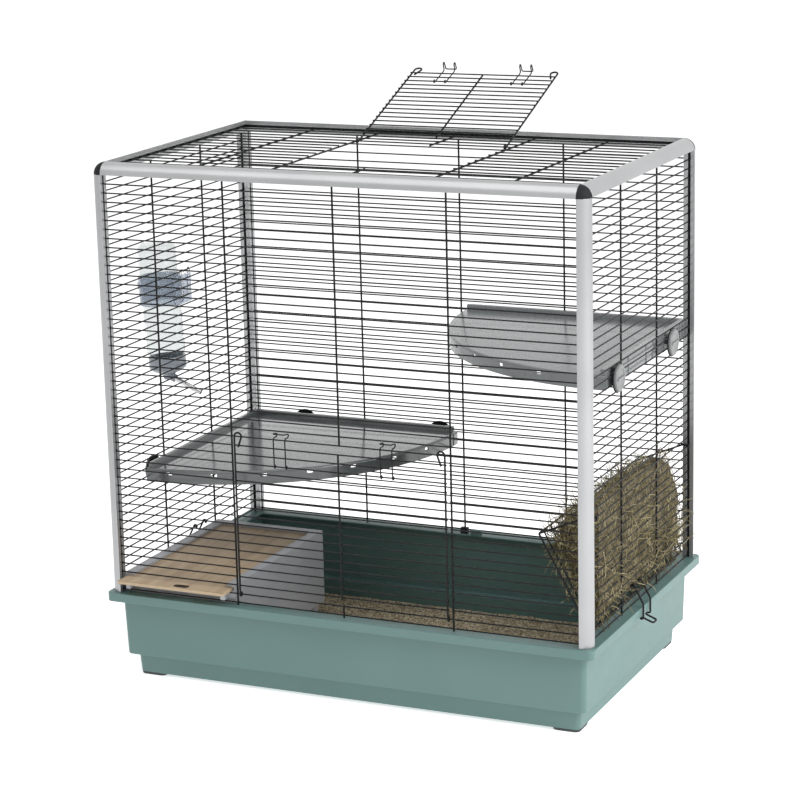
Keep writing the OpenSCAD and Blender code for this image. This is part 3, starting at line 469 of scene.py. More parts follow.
door = {"rows": 18, "hingeRadius": 0.00275, "rowsOut": 0.00035, "curl": 0.006, "tail": 0.016,
        "frontHalf": 0.171, "roofHalf": 0.125, "roofPitch": 0.0135, "roofEdge": 0.1215, "open": 159,
        "over": 0.0005, "barFoot": 0.003, "barHead": 0.0015, "bend": 0.004,
        "latchThick": 0.002, "latchWidth": 0.019, "latchRow": 15, "latchGap": 0.00015, "latchBend": 0.0022,
        "latchNeck": (0.0005, 0.0007),
        "latchHook": ((0.0032, 0.001), (0.0032, -0.007), (0.0054, -0.0105), (0.0082, -0.0085),
                      (0.0096, -0.001), (0.0098, 0.004))}
frontHinge = (Matrix.Translation((0, -grille["planeY"], rowZ(grille["sill"])))
              @ Matrix.Rotation(math.radians(90), 4, "X"))
roofHinge = (Matrix.Translation((0, door["roofEdge"], roof["plane"])) @ Matrix.Rotation(math.pi, 4, "Z")
             @ Matrix.Rotation(math.radians(door["open"]), 4, "X"))


def wireDoor(name, half, pitch, firstRow, place):
    # drawn flat: the hinge wire on X, the door along Y, its outside towards Z
    bm = bmesh.new()
    thick, r, curl, out = grille["thick"], door["hingeRadius"], door["curl"], door["rowsOut"]
    top = pitch * door["rows"] + door["over"]
    end = half + thick / 2
    for i in range(firstRow, door["rows"]):
        straightWire(bm, (-end, pitch * i, out), (end, pitch * i, out), grille["thin"])
    straightWire(bm, (0, pitch * firstRow - door["barFoot"], r),
                 (0, pitch * (door["rows"] - 1) + door["barHead"], r), thick)
    for s in (-1, 1):
        x = s * half
        turns = [math.radians(a) for a in range(20, 181, 20)]
        loop = [(x - s * (curl - curl * math.cos(t)), top + curl * math.sin(t), r) for t in turns]
        tail = (x - s * curl, top - door["tail"], r)
        bentWire(bm, arcPoints((x, 0, 0), r, 340, 90) + [(x, top, r)] + loop + [tail], thick, door["bend"])
    finishWire(bm, name, nodeName(name) + "_body", place)


def wireLatch(name, x, pitch, place):
    bm = bmesh.new()
    reach, half = pitch * 3, door["latchWidth"] / 2
    r = (grille["thin"] + door["latchThick"]) / 2 + door["latchGap"]
    neck, lift = door["latchNeck"]
    side = [(reach + neck, r + lift)] + [(reach + a, b) for a, b in door["latchHook"]]
    left = arcPoints((-half, 0, 0), r, 330, 90) + [(-half, a, b) for a, b in side]
    right = [(half, a, b) for a, b in reversed(side)] + arcPoints((half, 0, 0), r, 90, 330)
    bentWire(bm, left + right, door["latchThick"], door["latchBend"])
    spot = Matrix.Translation((x, pitch * door["latchRow"], door["rowsOut"]))
    finishWire(bm, name, nodeName(name) + "_body", place @ spot)


wireDoor("frontDoor", door["frontHalf"], grille["pitch"], 1, frontHinge)
wireDoor("roofDoor", door["roofHalf"], door["roofPitch"], 2, roofHinge)
wireLatch("frontLatchLeft", -0.096, grille["pitch"], frontHinge)
wireLatch("frontLatchRight", 0.078, grille["pitch"], frontHinge)
wireLatch("roofLatchLeft", 0.064, door["roofPitch"], roofHinge)
wireLatch("roofLatchRight", -0.070, door["roofPitch"], roofHinge)

clip = {"width": 0.032, "row": 2, "hookRadius": 0.00275, "rimX": 0.4025, "rimZ": tubTop - 0.0175,
        "kneeZ": tubTop + 0.006, "under": 0.005, "tab": 0.008, "lipOut": 0.013, "lipDrop": 0.007,
        "bend": 0.0035, "leftY": 0.032, "rightY": -0.020}


def baseClip(name, side, y):
    bm = bmesh.new()
    r, half = clip["hookRadius"], clip["width"] / 2
    z, x = rowZ(clip["row"]), grille["planeX"]
    rimX, rimZ = clip["rimX"], clip["rimZ"]
    innerX = rimX - clip["under"]

    def arm(at, tab):
        turns = [math.radians(t) for t in range(250, -1, -25)]
        hook = [(x + r * math.cos(t), at, z + r * math.sin(t)) for t in turns]
        return hook + [(rimX, at, clip["kneeZ"]), (rimX, at, rimZ), (innerX, at, rimZ),
                       (innerX, at + tab, rimZ), (rimX + clip["lipOut"], at + tab, rimZ - clip["lipDrop"])]

    path = arm(y - half, clip["tab"]) + arm(y + half, -clip["tab"])[::-1]
    bentWire(bm, [(side * p[0], p[1], p[2]) for p in path], grille["thick"], clip["bend"])
    finishWire(bm, name, nodeName(name) + "_body")


baseClip("baseClipLeft", -1, clip["leftY"])
baseClip("baseClipRight", 1, clip["rightY"])
print("doors, latches and clips made")


profile = {"size": 0.018, "grooveLow": 0.0068, "grooveHigh": 0.0112, "grooveDepth": 0.006, "segments": 20,
           "outX": 0.395, "outY": 0.245, "post": 0.652, "top": tubTop + 0.670}


def profileBar(name, length, place, material):
    # quarter-round profile, its outer corner at the origin, pushed along Z
    bm = bmesh.new()
    s, a, b = profile["size"], profile["grooveLow"], profile["grooveHigh"]
    d = s - profile["grooveDepth"]
    outline = [(0, 0), (s, 0), (s, a), (d, a), (d, b), (s, b), (s, s), (b, s), (b, d), (a, d), (a, s), (0, s)]
    corners = [bm.verts.new((x, y, 0)) for x, y in outline]
    bm.faces.new(corners)
    bmesh.ops.bevel(bm, geom=[corners[0]], offset=s - 1e-5, offset_type="OFFSET",
                    segments=profile["segments"], profile=0.5, affect="VERTICES", material=-1,
                    clamp_overlap=False)
    bmesh.ops.remove_doubles(bm, verts=bm.verts, dist=2e-5)
    pushFaces(bm, (0, 0, length))
    piece = finishPiece(bm, name, "cage", [nodeName(name)], "satin_aluminium", material,
                        place=place, crease=25)
    addBevel(piece, width=0.0003, segments=2, angle=40)


def flip(x, y):
    return Matrix.Diagonal((x, y, 1, 1))


outX, outY, railTop = profile["outX"], profile["outY"], profile["top"]
lengthX, lengthY = 2 * (outX - profile["size"]), 2 * (outY - profile["size"])
for name, x, y in (("postFrontLeft", 1, 1), ("postFrontRight", -1, 1),
                   ("postRearLeft", 1, -1), ("postRearRight", -1, -1)):
    corner = Matrix.Translation((-x * outX, -y * outY, tubTop)) @ flip(x, y)
    profileBar(name, profile["post"], corner, postMetal)
for name, y in (("railFront", 1), ("railRear", -1)):
    lie = Matrix(((0, 0, 1, -lengthX / 2), (y, 0, 0, -y * outY), (0, -1, 0, railTop), (0, 0, 0, 1)))
    profileBar(name, lengthX, lie, railMetalX)
for name, x in (("railLeft", 1), ("railRight", -1)):
    lie = Matrix(((x, 0, 0, -x * outX), (0, 0, 1, -lengthY / 2), (0, -1, 0, railTop), (0, 0, 0, 1)))
    profileBar(name, lengthY, lie, railMetalY)
print("posts and rails made")


tub = {"outX": 0.400, "outY": 0.250, "rimDrop": 0.014, "lip": 0.003, "round": 0.009, "inRound": 0.006,
       "rim": 0.017, "wall": 0.003, "ledge": 0.009, "lean": 0.003, "step": 0.012, "foot": 0.002,
       "stepZ": 0.035, "slope": 0.0012, "footZ": 0.004, "floorZ": 0.007, "pad": 0.044, "padRound": 0.009,
       "padTaper": 0.001, "padLap": 0.0005, "tab": (0.014, 0.034, 0.221, 0.225), "tabRound": 0.0012,
       "tabLap": 0.0002, "tabHigh": 0.009}


def tubBox(inset):
    return shrink((-tub["outX"], tub["outX"], -tub["outY"], tub["outY"]), inset)


def makeTub():
    t = tub
    bm = bmesh.new()
    top, w, r, q = tubTop, t["wall"], t["round"], t["inRound"]
    wallTop = t["rim"]
    wallFoot = wallTop + t["lean"]
    low = wallFoot + t["step"]
    foot = low + t["foot"]
    lip, ledge = tubBox(t["lip"]), tubBox(wallTop + w + t["ledge"])
    ringStack(bm, [
        (tubBox(foot), r, t["footZ"]), (tubBox(low), r, t["stepZ"]),
        (tubBox(wallFoot), r, t["stepZ"] + t["slope"]), (tubBox(wallTop), r, top - t["lip"]),
        (lip, q, top - t["lip"]), (lip, q, top - t["rimDrop"]),
        (tubBox(0), r, top - t["rimDrop"]), (tubBox(0), r, top), (ledge, r, top), (ledge, r, top - w),
        (tubBox(wallTop + w), q, top - w), (tubBox(wallFoot + w), q, t["stepZ"] + w + t["slope"]),
        (tubBox(low + w), q, t["stepZ"] + w), (tubBox(foot + w), q, t["floorZ"]),
    ], segments=10)
    feet = len(bm.faces)
    half = t["pad"] / 2
    padX, padY = t["outX"] - foot - half, t["outY"] - foot - half
    for cx, cy in ((-padX, -padY), (padX, -padY), (-padX, padY), (padX, padY), (0, 0)):
        pad = (cx - half, cx + half, cy - half, cy + half)
        ringStack(bm, [(shrink(pad, t["padTaper"]), t["padRound"] - t["padTaper"], 0.0),
                       (pad, t["padRound"], t["footZ"] + t["padLap"])], segments=6)
    # the feet and the middle pad get the dark tone: painted shade for the gap under the tub
    markFaces(bm, feet, 1)
    # the tab that keeps the rear grille in place
    ringStack(bm, [(t["tab"], t["tabRound"], top - w + t["tabLap"]),
                   (t["tab"], t["tabRound"], top + t["tabHigh"])], segments=3)
    piece = finishPiece(bm, "tubShell", "cage", ["base_tub"], "teal_plastic", tubTeal, feetPaintedShade)
    addBevel(piece, width=0.0012, segments=3, angle=40)


makeTub()
print("tub made")


def joinCopies(name, meshes, places, material, body):
    copies = []
    for i, place in enumerate(places):
        copy = newObject(name + "Bit", meshes[i % len(meshes)])
        copy.matrix_world = place
        copies.append(copy)
    keep = newObject(name, meshes[0].copy())
    keep.data.clear_geometry()
    bpy.context.view_layer.update()
    with bpy.context.temp_override(active_object=keep, object=keep, selected_objects=[keep] + copies,
                                   selected_editable_objects=[keep] + copies):
        bpy.ops.object.join()
    keep.data.materials.clear()
    keep.data.materials.append(material)
    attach(keep, body)


def tilt(first, firstAxis, second, secondAxis):
    return Matrix.Rotation(first, 4, firstAxis) @ Matrix.Rotation(second, 4, secondAxis)


def smoothStep(value):
    value = max(0.0, min(1.0, value))
    return value * value * (3 - 2 * value)


litter = {"halfX": 0.3625, "halfY": 0.2125, "bed": 0.0130, "foot": 0.0075, "cellsX": 150, "cellsY": 90,
          "heapX": -0.184, "heapSpread": 0.12, "heapHigh": 0.036, "heapY": (-0.20, 0.060), "heapEnd": 0.05,
          "ripples": ((14, 3.1, 0.0022), (60, 9.4, 0.0012)), "nestRight": -0.1841, "nestRear": 0.0549,
          "kinds": 9, "grains": 9500, "grain": (0.0016, 0.0038)}


def litterHeight(x, y):
    s = litter
    beside = max(0.0, 1 - max(0.0, x - s["heapX"]) / s["heapSpread"])
    start, end = s["heapY"]
    along = smoothStep(min((y - start) / s["heapEnd"], (end - y) / s["heapEnd"]))
    ripple = sum(noise.noise(Vector((x * often, y * often, z))) * high for often, z, high in s["ripples"])
    return s["bed"] + s["heapHigh"] * beside ** 1.6 * along + ripple


def makeLitter():
    s = litter
    bm = bmesh.new()
    bmesh.ops.create_grid(bm, x_segments=s["cellsX"], y_segments=s["cellsY"], size=1,
                          matrix=Matrix.Diagonal((s["halfX"], s["halfY"], 1, 1)))
    for vertex in bm.verts:
        vertex.co.z = litterHeight(vertex.co.x, vertex.co.y)
    skirt = pushEdges(bm, [e for e in bm.edges if e.is_boundary], (0, 0, -0.001))
    for vertex in {v for e in skirt for v in e.verts}:
        vertex.co.z = s["foot"]
    bmesh.ops.contextual_create(bm, geom=skirt)
    finishPiece(bm, "litterBed", "cage", ["litter"], "wood_granules", litterTone)
    meshes = []
    for kind in range(s["kinds"]):
        bm = bmesh.new()
        bmesh.ops.create_icosphere(bm, subdivisions=1, radius=1)
        for vertex in bm.verts:
            vertex.co *= random.uniform(0.7, 1.25)
        bmesh.ops.scale(bm, verts=bm.verts, vec=(1, random.uniform(0.5, 0.9), random.uniform(0.3, 0.7)))
        meshes.append(meshOf(bm, "grain"))
    places = []
    while len(places) < s["grains"]:
        x, y = random.uniform(-s["halfX"], s["halfX"]), random.uniform(-s["halfY"], s["halfY"])
        if x < s["nestRight"] and y < s["nestRear"]:
            continue
        size = random.uniform(*s["grain"]) / 2
        turn = tilt(random.uniform(0, 6.28), "Z", random.uniform(-0.7, 0.7), "X")
        spot = Matrix.Translation((x, y, litterHeight(x, y) + size * 0.3))
        places.append(spot @ turn @ Matrix.Scale(size, 4))
    joinCopies("litterGrains", meshes, places, litterTone, "cage")


makeLitter()
print("litter made")


rack = {"back": 0.3776, "topX": 0.3001, "topZ": tubTop + 0.15275, "footZ": tubTop + 0.012, "y0": -0.200,
        "y1": 0.220, "pitch": 0.0275, "thick": 0.003, "thin": 0.0022, "bend": 0.004,
        "hookZ": tubTop + 0.18375, "planeX": 0.386, "hookRadius": 0.00275, "hookTip": 0.0035,
        "hookBend": 0.0028, "crownX": 0.3855, "shoulderX": 0.3791}


def makeRack():
    s = rack
    bm = bmesh.new()
    y0, y1, top, foot = s["y0"], s["y1"], (s["topX"], s["topZ"]), (s["back"], s["footZ"])
    outer, crown = s["planeX"] + s["hookRadius"], s["hookZ"] + s["hookRadius"]
    hook = [(outer, s["hookZ"] - s["hookTip"]), (outer, crown), (s["crownX"], crown),
            (s["shoulderX"], crown), top]
    for side, bend in ((hook, s["hookBend"]), ([top, foot], s["bend"])):
        path = [(x, y0, z) for x, z in side] + [(x, y1, z) for x, z in reversed(side)]
        bentWire(bm, path, s["thick"], bend)
    count = int((y1 - y0) / s["pitch"])
    margin = (y1 - y0 - s["pitch"] * (count - 1)) / 2
    for i in range(count):
        y = y0 + margin + s["pitch"] * i
        straightWire(bm, (top[0], y, top[1]), (foot[0], y, foot[1]), s["thin"])
    finishWire(bm, "hayRack", "hay_rack_body")


hay = {
    "y0": -0.176, "y1": 0.208, "low": tubTop + 0.030, "front": 0.3140, "back": 0.379, "limit": 0.3795,
    "peep": 0.002, "foot": 0.008, "ends": 0.010, "cuts": 7, "rise": 0.044, "level": 0.95, "fall": 2.0,
    "fallFrom": 0.120, "fallOver": 0.095, "slope": 0.65, "slopeX": 0.372,
    "crest": ((0.320, -0.010), (0.322, 0.004), (0.334, 0.015), (0.352, 0.029), (0.368, 0.038),
              (0.379, 0.038)),
    "kinds": 36, "joints": 6, "length": (0.030, 0.085), "thick": (0.0006, 0.0012), "bend": 0.02,
    "strands": 4000, "wall": 0.3805, "behind": 0.008, "outerShare": 0.4, "under": 0.004,
    "clipX": 0.345, "clipHalf": 0.030, "clipHigh": 0.06,
    "wisps": 700, "topShare": 0.6, "wispX": (0.312, 0.378), "wispClipHalf": 0.035,
}


def hayTop(y):
    # the heap is level along the wall and falls off to the rear end
    rise = hay["level"] - hay["fall"] * smoothStep((y - hay["fallFrom"]) / hay["fallOver"])
    return rack["topZ"] + hay["rise"] * rise + 0.005 * noise.noise(Vector((y * 26, 0.3, 0)))


def hayFront(z):
    # strands stick out a little between the rack's wires
    lean = (rack["back"] - rack["topX"]) / (rack["topZ"] - rack["footZ"])
    return max(rack["back"] - lean * (z - rack["footZ"]) - hay["peep"], hay["front"])


def haySlope(x):
    # the heap slopes down from the wall to the rack's rail
    return hay["slope"] * max(0, hay["slopeX"] - x)


def makeHayCore():
    # a rough heap under the strands, dark with painted shade for the inside of the hay
    h = hay
    bm = bmesh.new()
    outline = [(h["back"], h["low"]), (hayFront(h["low"]) + h["foot"], h["low"])]
    outline += [(x, rack["topZ"] + z) for x, z in h["crest"]]
    bm.faces.new([bm.verts.new((x, h["y0"] + h["ends"], z)) for x, z in outline])
    pushFaces(bm, (0, h["y1"] - h["y0"] - 2 * h["ends"], 0))
    bmesh.ops.triangulate(bm, faces=bm.faces)
    bmesh.ops.subdivide_edges(bm, edges=bm.edges, cuts=h["cuts"], use_grid_fill=True)
    high = outline[-1][1] - h["low"]
    for vertex in bm.verts:
        share = (hayTop(vertex.co.y) - h["low"]) / high
        vertex.co.z = h["low"] + (vertex.co.z - h["low"]) * share
        vertex.co += noise.noise_vector(vertex.co * 30) * 0.006 + noise.noise_vector(vertex.co * 110) * 0.003
        vertex.co.x = min(vertex.co.x, h["limit"])
    finishPiece(bm, "hayCore", "hay_rack_body", ["hay"], "dry_hay", hayShade)


def hayMeshes():
    meshes = []
    for kind in range(hay["kinds"]):
        bm = bmesh.new()
        length, thick = random.uniform(*hay["length"]), random.uniform(*hay["thick"])
        sway = [length * random.uniform(-0.20, 0.20) for n in range(4)]
        points = []
        for n in range(hay["joints"]):
            t = n / (hay["joints"] - 1)
            points.append(((t - 0.5) * length, sway[0] * math.sin(3.1 * t) + sway[2] * t * t,
                           sway[1] * math.sin(5.2 * t) + sway[3] * t * t))
        bentWire(bm, points, thick, hay["bend"], sides=4)
        meshes.append(meshOf(bm, "strand"))
    return meshes


def strandPlaces():
    h = hay
    places = []
    while len(places) < h["strands"]:
        y, z = random.uniform(h["y0"], h["y1"]), random.uniform(h["low"], rack["topZ"] + h["rise"])
        front = hayFront(z)
        deep = (h["wall"] - front) * random.random() ** 2.4
        outer = random.random() < h["outerShare"]
        x = h["wall"] - h["behind"] - deep if outer else front + deep
        if x > h["clipX"] and abs(y - clip["rightY"]) < h["clipHalf"] and z < tubTop + h["clipHigh"]:
            continue
        if z > hayTop(y) - h["under"] - haySlope(x):
            continue
        turn = tilt(random.gauss(0, 0.5), "Z", random.gauss(1.2, 0.7), "Y")
        if random.random() < 0.5:
            turn = tilt(math.pi / 2 + random.gauss(0, 0.4), "Z", random.gauss(0, 0.7), "Y")
        if outer:
            # pressed flat behind the wires of the wall
            turn = tilt(random.uniform(0, 6.28), "X", random.gauss(1.57, 0.10), "Z")
        places.append(Matrix.Translation((x, y, z)) @ turn)
    return places


def wispPlaces():
    # loose ends along the top, over the rail and below the front
    h = hay
    places = []
    while len(places) < h["wisps"]:
        y = random.uniform(h["y0"] - 0.012, h["y1"] + 0.008)
        if random.random() < h["topShare"]:
            x, z = random.uniform(*h["wispX"]), hayTop(y) + random.uniform(-0.010, 0.006)
            z -= haySlope(x)
        else:
            z = random.uniform(h["low"] - 0.012, rack["topZ"])
            x = hayFront(z) + random.uniform(-0.004, 0.006)
            if x > h["clipX"] and abs(y - clip["rightY"]) < h["wispClipHalf"]:
                continue
        turn = tilt(random.uniform(0, 6.28), "Z", random.gauss(0.5, 0.5), "Y")
        places.append(Matrix.Translation((x, y, z)) @ turn @ Matrix.Scale(random.uniform(0.35, 0.8), 4))
    return places


makeRack()
makeHayCore()
strands = hayMeshes()
joinCopies("hayStrands", strands, strandPlaces(), hayTone, "hay_rack_body")
joinCopies("hayWisps", strands, wispPlaces(), hayTone, "hay_rack_body")
print("rack and hay made")


shelf = {
    "radius": 0.372, "wall": 0.003, "skirt": 0.0215, "edge": 0.004, "steps": 120, "corner": 0.0076,
    "slotTop": 0.0045, "slotHigh": 0.005, "slots": 7, "slotStart": 15, "slotStep": 11.5, "slotHalf": 0.76,
    "notch": 0.0054, "rib": 0.0012, "flangeOut": 0.002, "flangeRound": 0.0008, "flangeLap": 0.0005,
    "borderWide": 0.009, "borderHigh": 0.0085, "borderRound": 0.002, "borderLap": 0.001,
    "borderEdge": ((0, 0.002, 0.0015), (0.0004, 0.0018, 0.0004), (0.0014, 0.001, 0)),
    "ribs": 4, "ribStart": 0.030, "ribPitch": 0.080, "ribWide": 0.003, "ribLap": 0.001,
    "ribRound": 0.0003, "ribDrop": 0.002,
    "cornerX": 0.3818, "cornerY": 0.2318, "lowerTop": tubTop + 0.172625, "upperTop": tubTop + 0.378875,
}


def quarterTurn(x, z, radius, step):
    # a rounded edge in section, from its side up to its top
    turns = [math.radians(a) for a in range(0, 91, step)]
    return [(x + radius * math.cos(t), z + radius * math.sin(t)) for t in turns]


def shelfSide(bm):
    # flange, raised border and ribs along X
    s = shelf
    flank, high = s["rib"], s["borderHigh"]
    start, reach = s["notch"], s["radius"] - flank - s["wall"]
    ringStack(bm, [((start, end, flank, flank + s["wall"]), s["flangeRound"], z) for end, z in
                   ((reach, -s["skirt"]), (reach + s["flangeOut"], -s["flangeLap"]))], segments=2)
    border = (start, reach, flank, flank + s["borderWide"])
    ringStack(bm, [(border, s["borderRound"], -s["borderLap"])]
              + [(shrink(border, inset), radius, high - drop) for inset, radius, drop in s["borderEdge"]],
              segments=4)
    for k in range(s["ribs"]):
        d = s["ribStart"] + s["ribPitch"] * k
        rib = (d, d + s["ribWide"], 0, flank + s["ribLap"])
        ringStack(bm, [(rib, s["ribRound"], z) for z in (-s["skirt"], high - s["ribDrop"])], segments=2)


def makeShelf(name, side, top, material):
    # a quarter disc round the origin, its front slotted, then moved left (1) or right (-1)
    s = shelf
    bm = bmesh.new()
    r, e, slotFoot = s["radius"], s["edge"], -s["slotTop"] - s["slotHigh"]
    outline = [(s["corner"], 0)] + quarterTurn(r - e, -e, e, 15)[::-1]
    outline += [(r, -s["slotTop"]), (r, slotFoot), (r, -s["skirt"])]
    chain = [bm.verts.new((x, 0, z)) for x, z in outline]
    edges = [bm.edges.new(pair) for pair in zip(chain, chain[1:])]
    bmesh.ops.spin(bm, geom=chain + edges, cent=(0, 0, 0), axis=(0, 0, 1), angle=math.pi / 2,
                   steps=s["steps"])
    slots = [s["slotStart"] + s["slotStep"] * i for i in range(s["slots"])]
    gone = []
    for face in bm.faces:
        middle = face.calc_center_median()
        turn = math.degrees(math.atan2(middle.y, middle.x))
        if slotFoot < middle.z < -s["slotTop"] and any(abs(turn - slot) < s["slotHalf"] for slot in slots):
            gone.append(face)
    bmesh.ops.delete(bm, geom=gone, context="FACES")
    bmesh.ops.solidify(bm, geom=list(bm.faces), thickness=s["wall"])
    shelfSide(bm)
    known = set(bm.verts)
    shelfSide(bm)
    swap = Matrix(((0, 1, 0, 0), (1, 0, 0, 0), (0, 0, 1, 0), (0, 0, 0, 1)))
    bmesh.ops.transform(bm, matrix=swap, verts=[v for v in bm.verts if v not in known])
    place = Matrix.Translation((-side * s["cornerX"], s["cornerY"], top)) @ flip(side, -1)
    finishPiece(bm, name, "cage", [nodeName(name)], "grey_shelf_plastic", material, place=place,
                crease=30, merge=False)


makeShelf("lowerShelf", 1, shelf["lowerTop"], shelfGreyPaintedShade)
makeShelf("upperShelf", -1, shelf["upperTop"], shelfGreyPaintedLight)
print("shelves made")


lid = {
    "x0": -0.3716, "x1": -0.1886, "y0": -0.262, "y1": 0.0689, "z0": tubTop + 0.02015, "z1": tubTop + 0.02515,
    "round": 0.0015, "edge": 0.0005, "holeX": -0.2661, "holeY": -0.251, "holeHalf": 0.013, "holeWide": 0.006,
    "holeRound": 0.00595, "shadeMargin": 0.001, "stubs": (-0.3655, -0.2015), "stubHalf": 0.004,
    "stubY": (-0.2410, -0.2296),
    "stubRings": ((0.0005, 0.0008, 0.0066), (0, 0.001, 0.0072), (0, 0.001, 0.0166), (0.0005, 0.0008, 0.0172)),
}


def makeLid():
    s = lid
    bm = bmesh.new()
    x, y, half, wide = s["holeX"], s["holeY"], s["holeHalf"], s["holeWide"]
    outer = (s["x0"], s["x1"], s["y0"], s["y1"])
    inner = (x - half, x + half, y - wide, y + wide)
    ringStack(bm, [(outer, s["round"], s["z0"]), (outer, s["round"], s["z1"]),
                   (inner, s["holeRound"], s["z1"]), (inner, s["holeRound"], s["z0"])], segments=8, loop=True)
    # the hole's own wall gets a near black tone: painted shade for the shadow under the lid
    for face in bm.faces:
        middle, upright = face.calc_center_median(), abs(face.normal.z) < 0.5
        near = abs(middle.x - x) < half + s["shadeMargin"] and abs(middle.y - y) < wide + s["shadeMargin"]
        if upright and near:
            face.material_index = 1
    piece = finishPiece(bm, "nestLid", "nest_lid_body", ["nest_lid"], "plywood", ply, holePaintedShade)
    addBevel(piece, s["edge"], segments=2, angle=50)


def makeStubs():
    # two stubs of the nest box, under the lid where it comes out between the wires
    s = lid
    bm = bmesh.new()
    for x in s["stubs"]:
        stub = (x - s["stubHalf"], x + s["stubHalf"], *s["stubY"])
        ringStack(bm, [(shrink(stub, inset), radius, tubTop + z) for inset, radius, z in s["stubRings"]],
                  segments=3)
    finishPiece(bm, "nestStubs", "cage", [], "nest_plastic", nestGrey)


makeLid()
makeStubs()
print("lid made")

disc = {
    "back": 0.0056, "front": 0.0116, "radius": 0.022, "washer": 0.0018, "inset": 0.0016, "dome": 0.0025,
    "shank": 0.0035, "shankEnd": -0.0172, "dishOuter": 0.72, "dishInner": 0.68, "dishDeep": 0.0008,
    "washerBack": 0.0005, "washerEdge": 0.0004, "ridgeHalf": 0.016,
    "ridge": ((0, 0.002, 0.0018, 0.0106), (0, 0.0018, 0.0016, 0.0126), (0.0006, 0.0012, 0.0010, 0.0130)),
    "near": 0.092, "far": 0.338, "drop": 0.0095,
}
axisRadius = 0.00001


def turnedRings(bm, outline, steps=72):
    # an outline of radius and height, closed on itself or on the axis, turned about Z
    chain = [bm.verts.new((r, 0, z)) for r, z in outline]
    edges = [bm.edges.new(pair) for pair in zip(chain, chain[1:] + chain[:1])]
    bmesh.ops.spin(bm, geom=chain + edges, cent=(0, 0, 0), axis=(0, 0, 1), angle=math.tau, steps=steps,
                   use_merge=True)


def makeDisc(name, along, wall, side, top):
    # grey disc with a black washer behind it and a ridge to turn it by
    bm = bmesh.new()
    d = disc
    radius, shank, back, high, dome = d["radius"], d["shank"], d["back"], d["front"], d["dome"]
    rim, low, dish = radius - d["inset"], back + d["washer"], high - d["dishDeep"]
    turnedRings(bm, [(axisRadius, d["shankEnd"]), (shank, d["shankEnd"]), (shank, low), (rim, low)]
                + quarterTurn(rim - dome, high - dome, dome, 18)
                + [(rim * d["dishOuter"], high), (rim * d["dishInner"], dish), (axisRadius, dish)])
    grey = len(bm.faces)
    soft, edge = d["washerBack"], d["washerEdge"]
    turnedRings(bm, [(shank + edge, back), (radius - soft, back), (radius, back + soft),
                     (radius, low - edge), (radius - edge, low), (shank + edge, low)])
    markFaces(bm, grey, 1)
    ridge = len(bm.faces)
    half = d["ridgeHalf"]
    ringStack(bm, [((inset - half, half - inset, -wide, wide), corner, z)
                   for inset, wide, corner, z in d["ridge"]], segments=4)
    markFaces(bm, ridge, 0)
    corner = Matrix.Translation((-side * shelf["cornerX"], shelf["cornerY"], top - d["drop"]))
    if wall == "rear":
        move = Matrix.Translation((side * along, 0, 0))
        lay = move @ Matrix.Rotation(math.radians(-90), 4, "X")
    else:
        move = Matrix.Translation((0, -along, 0))
        lay = move @ tilt(math.radians(-90 * side), "Y", math.radians(90), "Z")
    node = nodeName(name)
    finishPiece(bm, name, node + "_body", [node], "grey_shelf_plastic", discGrey, capCharcoal,
                place=corner @ lay, crease=30)


makeDisc("lowerClampLeft", disc["near"], "rear", 1, shelf["lowerTop"])
makeDisc("lowerClampMiddle", disc["far"], "rear", 1, shelf["lowerTop"])
makeDisc("lowerClampSide", disc["far"], "side", 1, shelf["lowerTop"])
makeDisc("upperClampFront", disc["far"], "side", -1, shelf["upperTop"])
makeDisc("upperClampRear", disc["near"], "side", -1, shelf["upperTop"])
print("discs made")

bottle = {
    "nose": (-0.4175, 0.007, 0.422496), "lean": -3.5, "neck": 0.027, "neckZ": 0.022, "shoulderZ": 0.038,
    "shoulderOut": 0.0012, "shoulderUp": 0.0028, "radius": 0.031, "fullZ": 0.044, "top": 0.220,
    "round": 0.009, "wall": 0.0015, "dish": 0.0012, "groove": 0.0007, "grooveFoot": 0.001,
    "grooveHalf": 0.0025, "grooves": (0.062, 0.112, 0.178, 0.192),
}


def makeBottle():
    b = bottle
    bm = bmesh.new()
    r, t, neck, crown = b["radius"], b["wall"], b["neck"], b["top"] - b["round"]
    outer = [(neck, b["neckZ"]), (neck, b["shoulderZ"]),
             (neck + b["shoulderOut"], b["shoulderZ"] + b["shoulderUp"]), (r, b["fullZ"])]
    deep, foot, half = r - b["groove"], b["grooveFoot"], b["grooveHalf"]
    for z in b["grooves"]:
        outer += [(r, z - half), (deep, z - foot), (deep, z + foot), (r, z + half)]
    outer += quarterTurn(r - b["round"], crown, b["round"], 10)
    outer.append((axisRadius, b["top"] - b["dish"]))
    inner = [(max(x - t, axisRadius), z if z < crown else z - t) for x, z in outer]
    turnedRings(bm, outer + inner[::-1], steps=96)
    lay = Matrix.Translation(b["nose"]) @ Matrix.Rotation(math.radians(b["lean"]), 4, "Y")
    finishPiece(bm, "bottleBody", "cage", ["bottle_body"], "clear_bottle_plastic", bottleClear,
                place=lay, crease=40)


makeBottle()
print("bottle made")

paint(capCharcoal, "cap_front_left", "cap_front_right", "cap_rear_left", "cap_rear_right", "rear_clip")
paint(discGrey, "lower_nuts", "upper_nuts")
paint(nestGrey, "nest_box")
paint(capBlue, "bottle_cap")
paint(sealWhite, "bottle_seal")
paint(steel, "spout_tube", "spout_ball", "holder_hook")
paint(strapBlue, "bottle_holder")


stage = {"half": 60, "drop": 0.0002, "tone": 0.95, "rough": 0.9, "glow": 0.60, "fill": 0.45, "backdrop": 1.12}
lamps = {"keyRight": {"place": (3.2, -0.6, 2.4), "aim": (0, 0, 0.35), "side": 2.4, "power": 120},
         "fillTop": {"place": (-0.4, -1.2, 3.4), "aim": (0, 0, 0.3), "side": 3.0, "power": 40}}
shot = {"lens": 117.97, "sensor": 36, "place": (1.625, -3.583, 1.396),
        "yaw": 24.48, "pitch": 13.93, "roll": -1.35}
white = (1, 1, 1, 1)


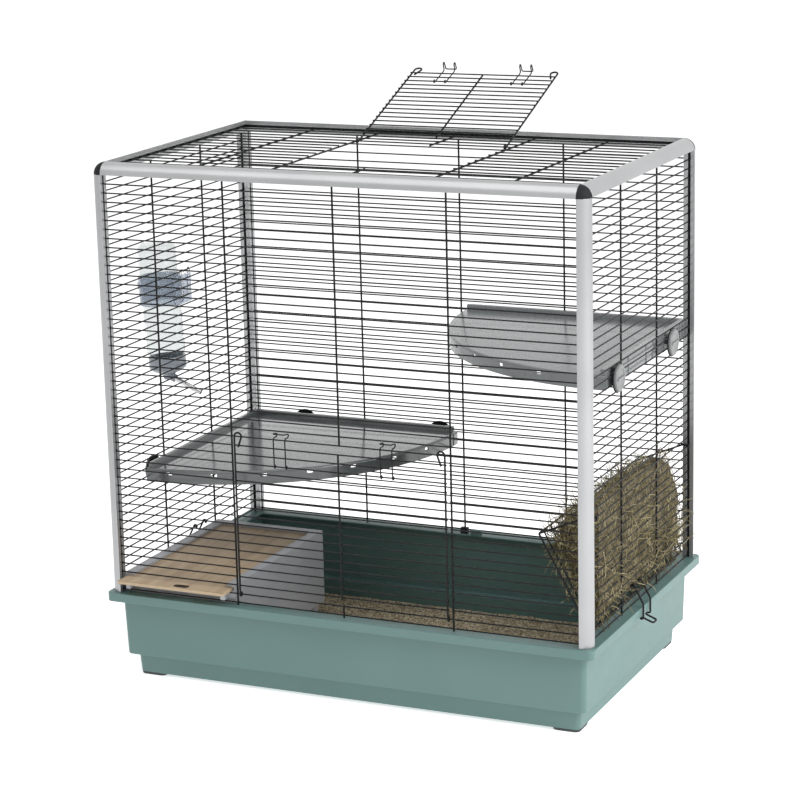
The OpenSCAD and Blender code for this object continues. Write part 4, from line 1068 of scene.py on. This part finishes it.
def makeFloor():
    bm = bmesh.new()
    bmesh.ops.create_grid(bm, x_segments=1, y_segments=1, size=stage["half"])
    floor = newObject("floor", meshOf(bm, "floor"))
    floor.location.z = -stage["drop"]
    material, tree, shader = newMaterial("floorPaper")
    tone = stage["tone"]
    setInputs(shader, {"Base Color": (tone, tone, tone, 1), "Roughness": stage["rough"],
                       "Emission Color": white, "Emission Strength": stage["glow"]})
    floor.data.materials.append(material)


def makeWorld():
    # the backdrop is white to the eye, and lights the object more softly
    world = bpy.data.worlds.new("studio")
    scene.world = world
    world.use_nodes = True
    tree = world.node_tree
    ray = addNode(tree, "ShaderNodeLightPath")
    fill = addNode(tree, "ShaderNodeBackground", Strength=stage["fill"], Color=white)
    backdrop = addNode(tree, "ShaderNodeBackground", Strength=stage["backdrop"], Color=white)
    mix = addNode(tree, "ShaderNodeMixShader", [(0, ray.outputs["Is Diffuse Ray"]), (1, backdrop.outputs[0]),
                                                (2, fill.outputs[0])])
    tree.links.new(mix.outputs[0], tree.nodes["World Output"].inputs["Surface"])


def addLight(name, place, aim, side, power):
    light = bpy.data.lights.new(name, "AREA")
    light.size = side
    light.energy = power
    lamp = newObject(name, light)
    lamp.location = place
    lamp.rotation_euler = (Vector(aim) - Vector(place)).to_track_quat("-Z", "Y").to_euler()


def addCamera():
    camera = bpy.data.cameras.new("camera")
    camera.lens = shot["lens"]
    camera.sensor_width = shot["sensor"]
    yaw, pitch, roll = (math.radians(shot[key]) for key in ("yaw", "pitch", "roll"))
    forward = Vector((-math.sin(yaw) * math.cos(pitch), math.cos(yaw) * math.cos(pitch), -math.sin(pitch)))
    level = Vector((math.cos(yaw), math.sin(yaw), 0))
    up = level.cross(forward)
    across = level * math.cos(roll) + up * math.sin(roll)
    upward = up * math.cos(roll) - level * math.sin(roll)
    turn = Matrix((across, upward, -forward)).transposed().to_4x4()
    view = newObject("camera", camera)
    view.matrix_world = Matrix.Translation(shot["place"]) @ turn
    scene.camera = view


makeFloor()
makeWorld()
for name, lamp in lamps.items():
    addLight(name, **lamp)
addCamera()
scene.view_settings.view_transform = "Standard"
print("stage, lights and camera set")
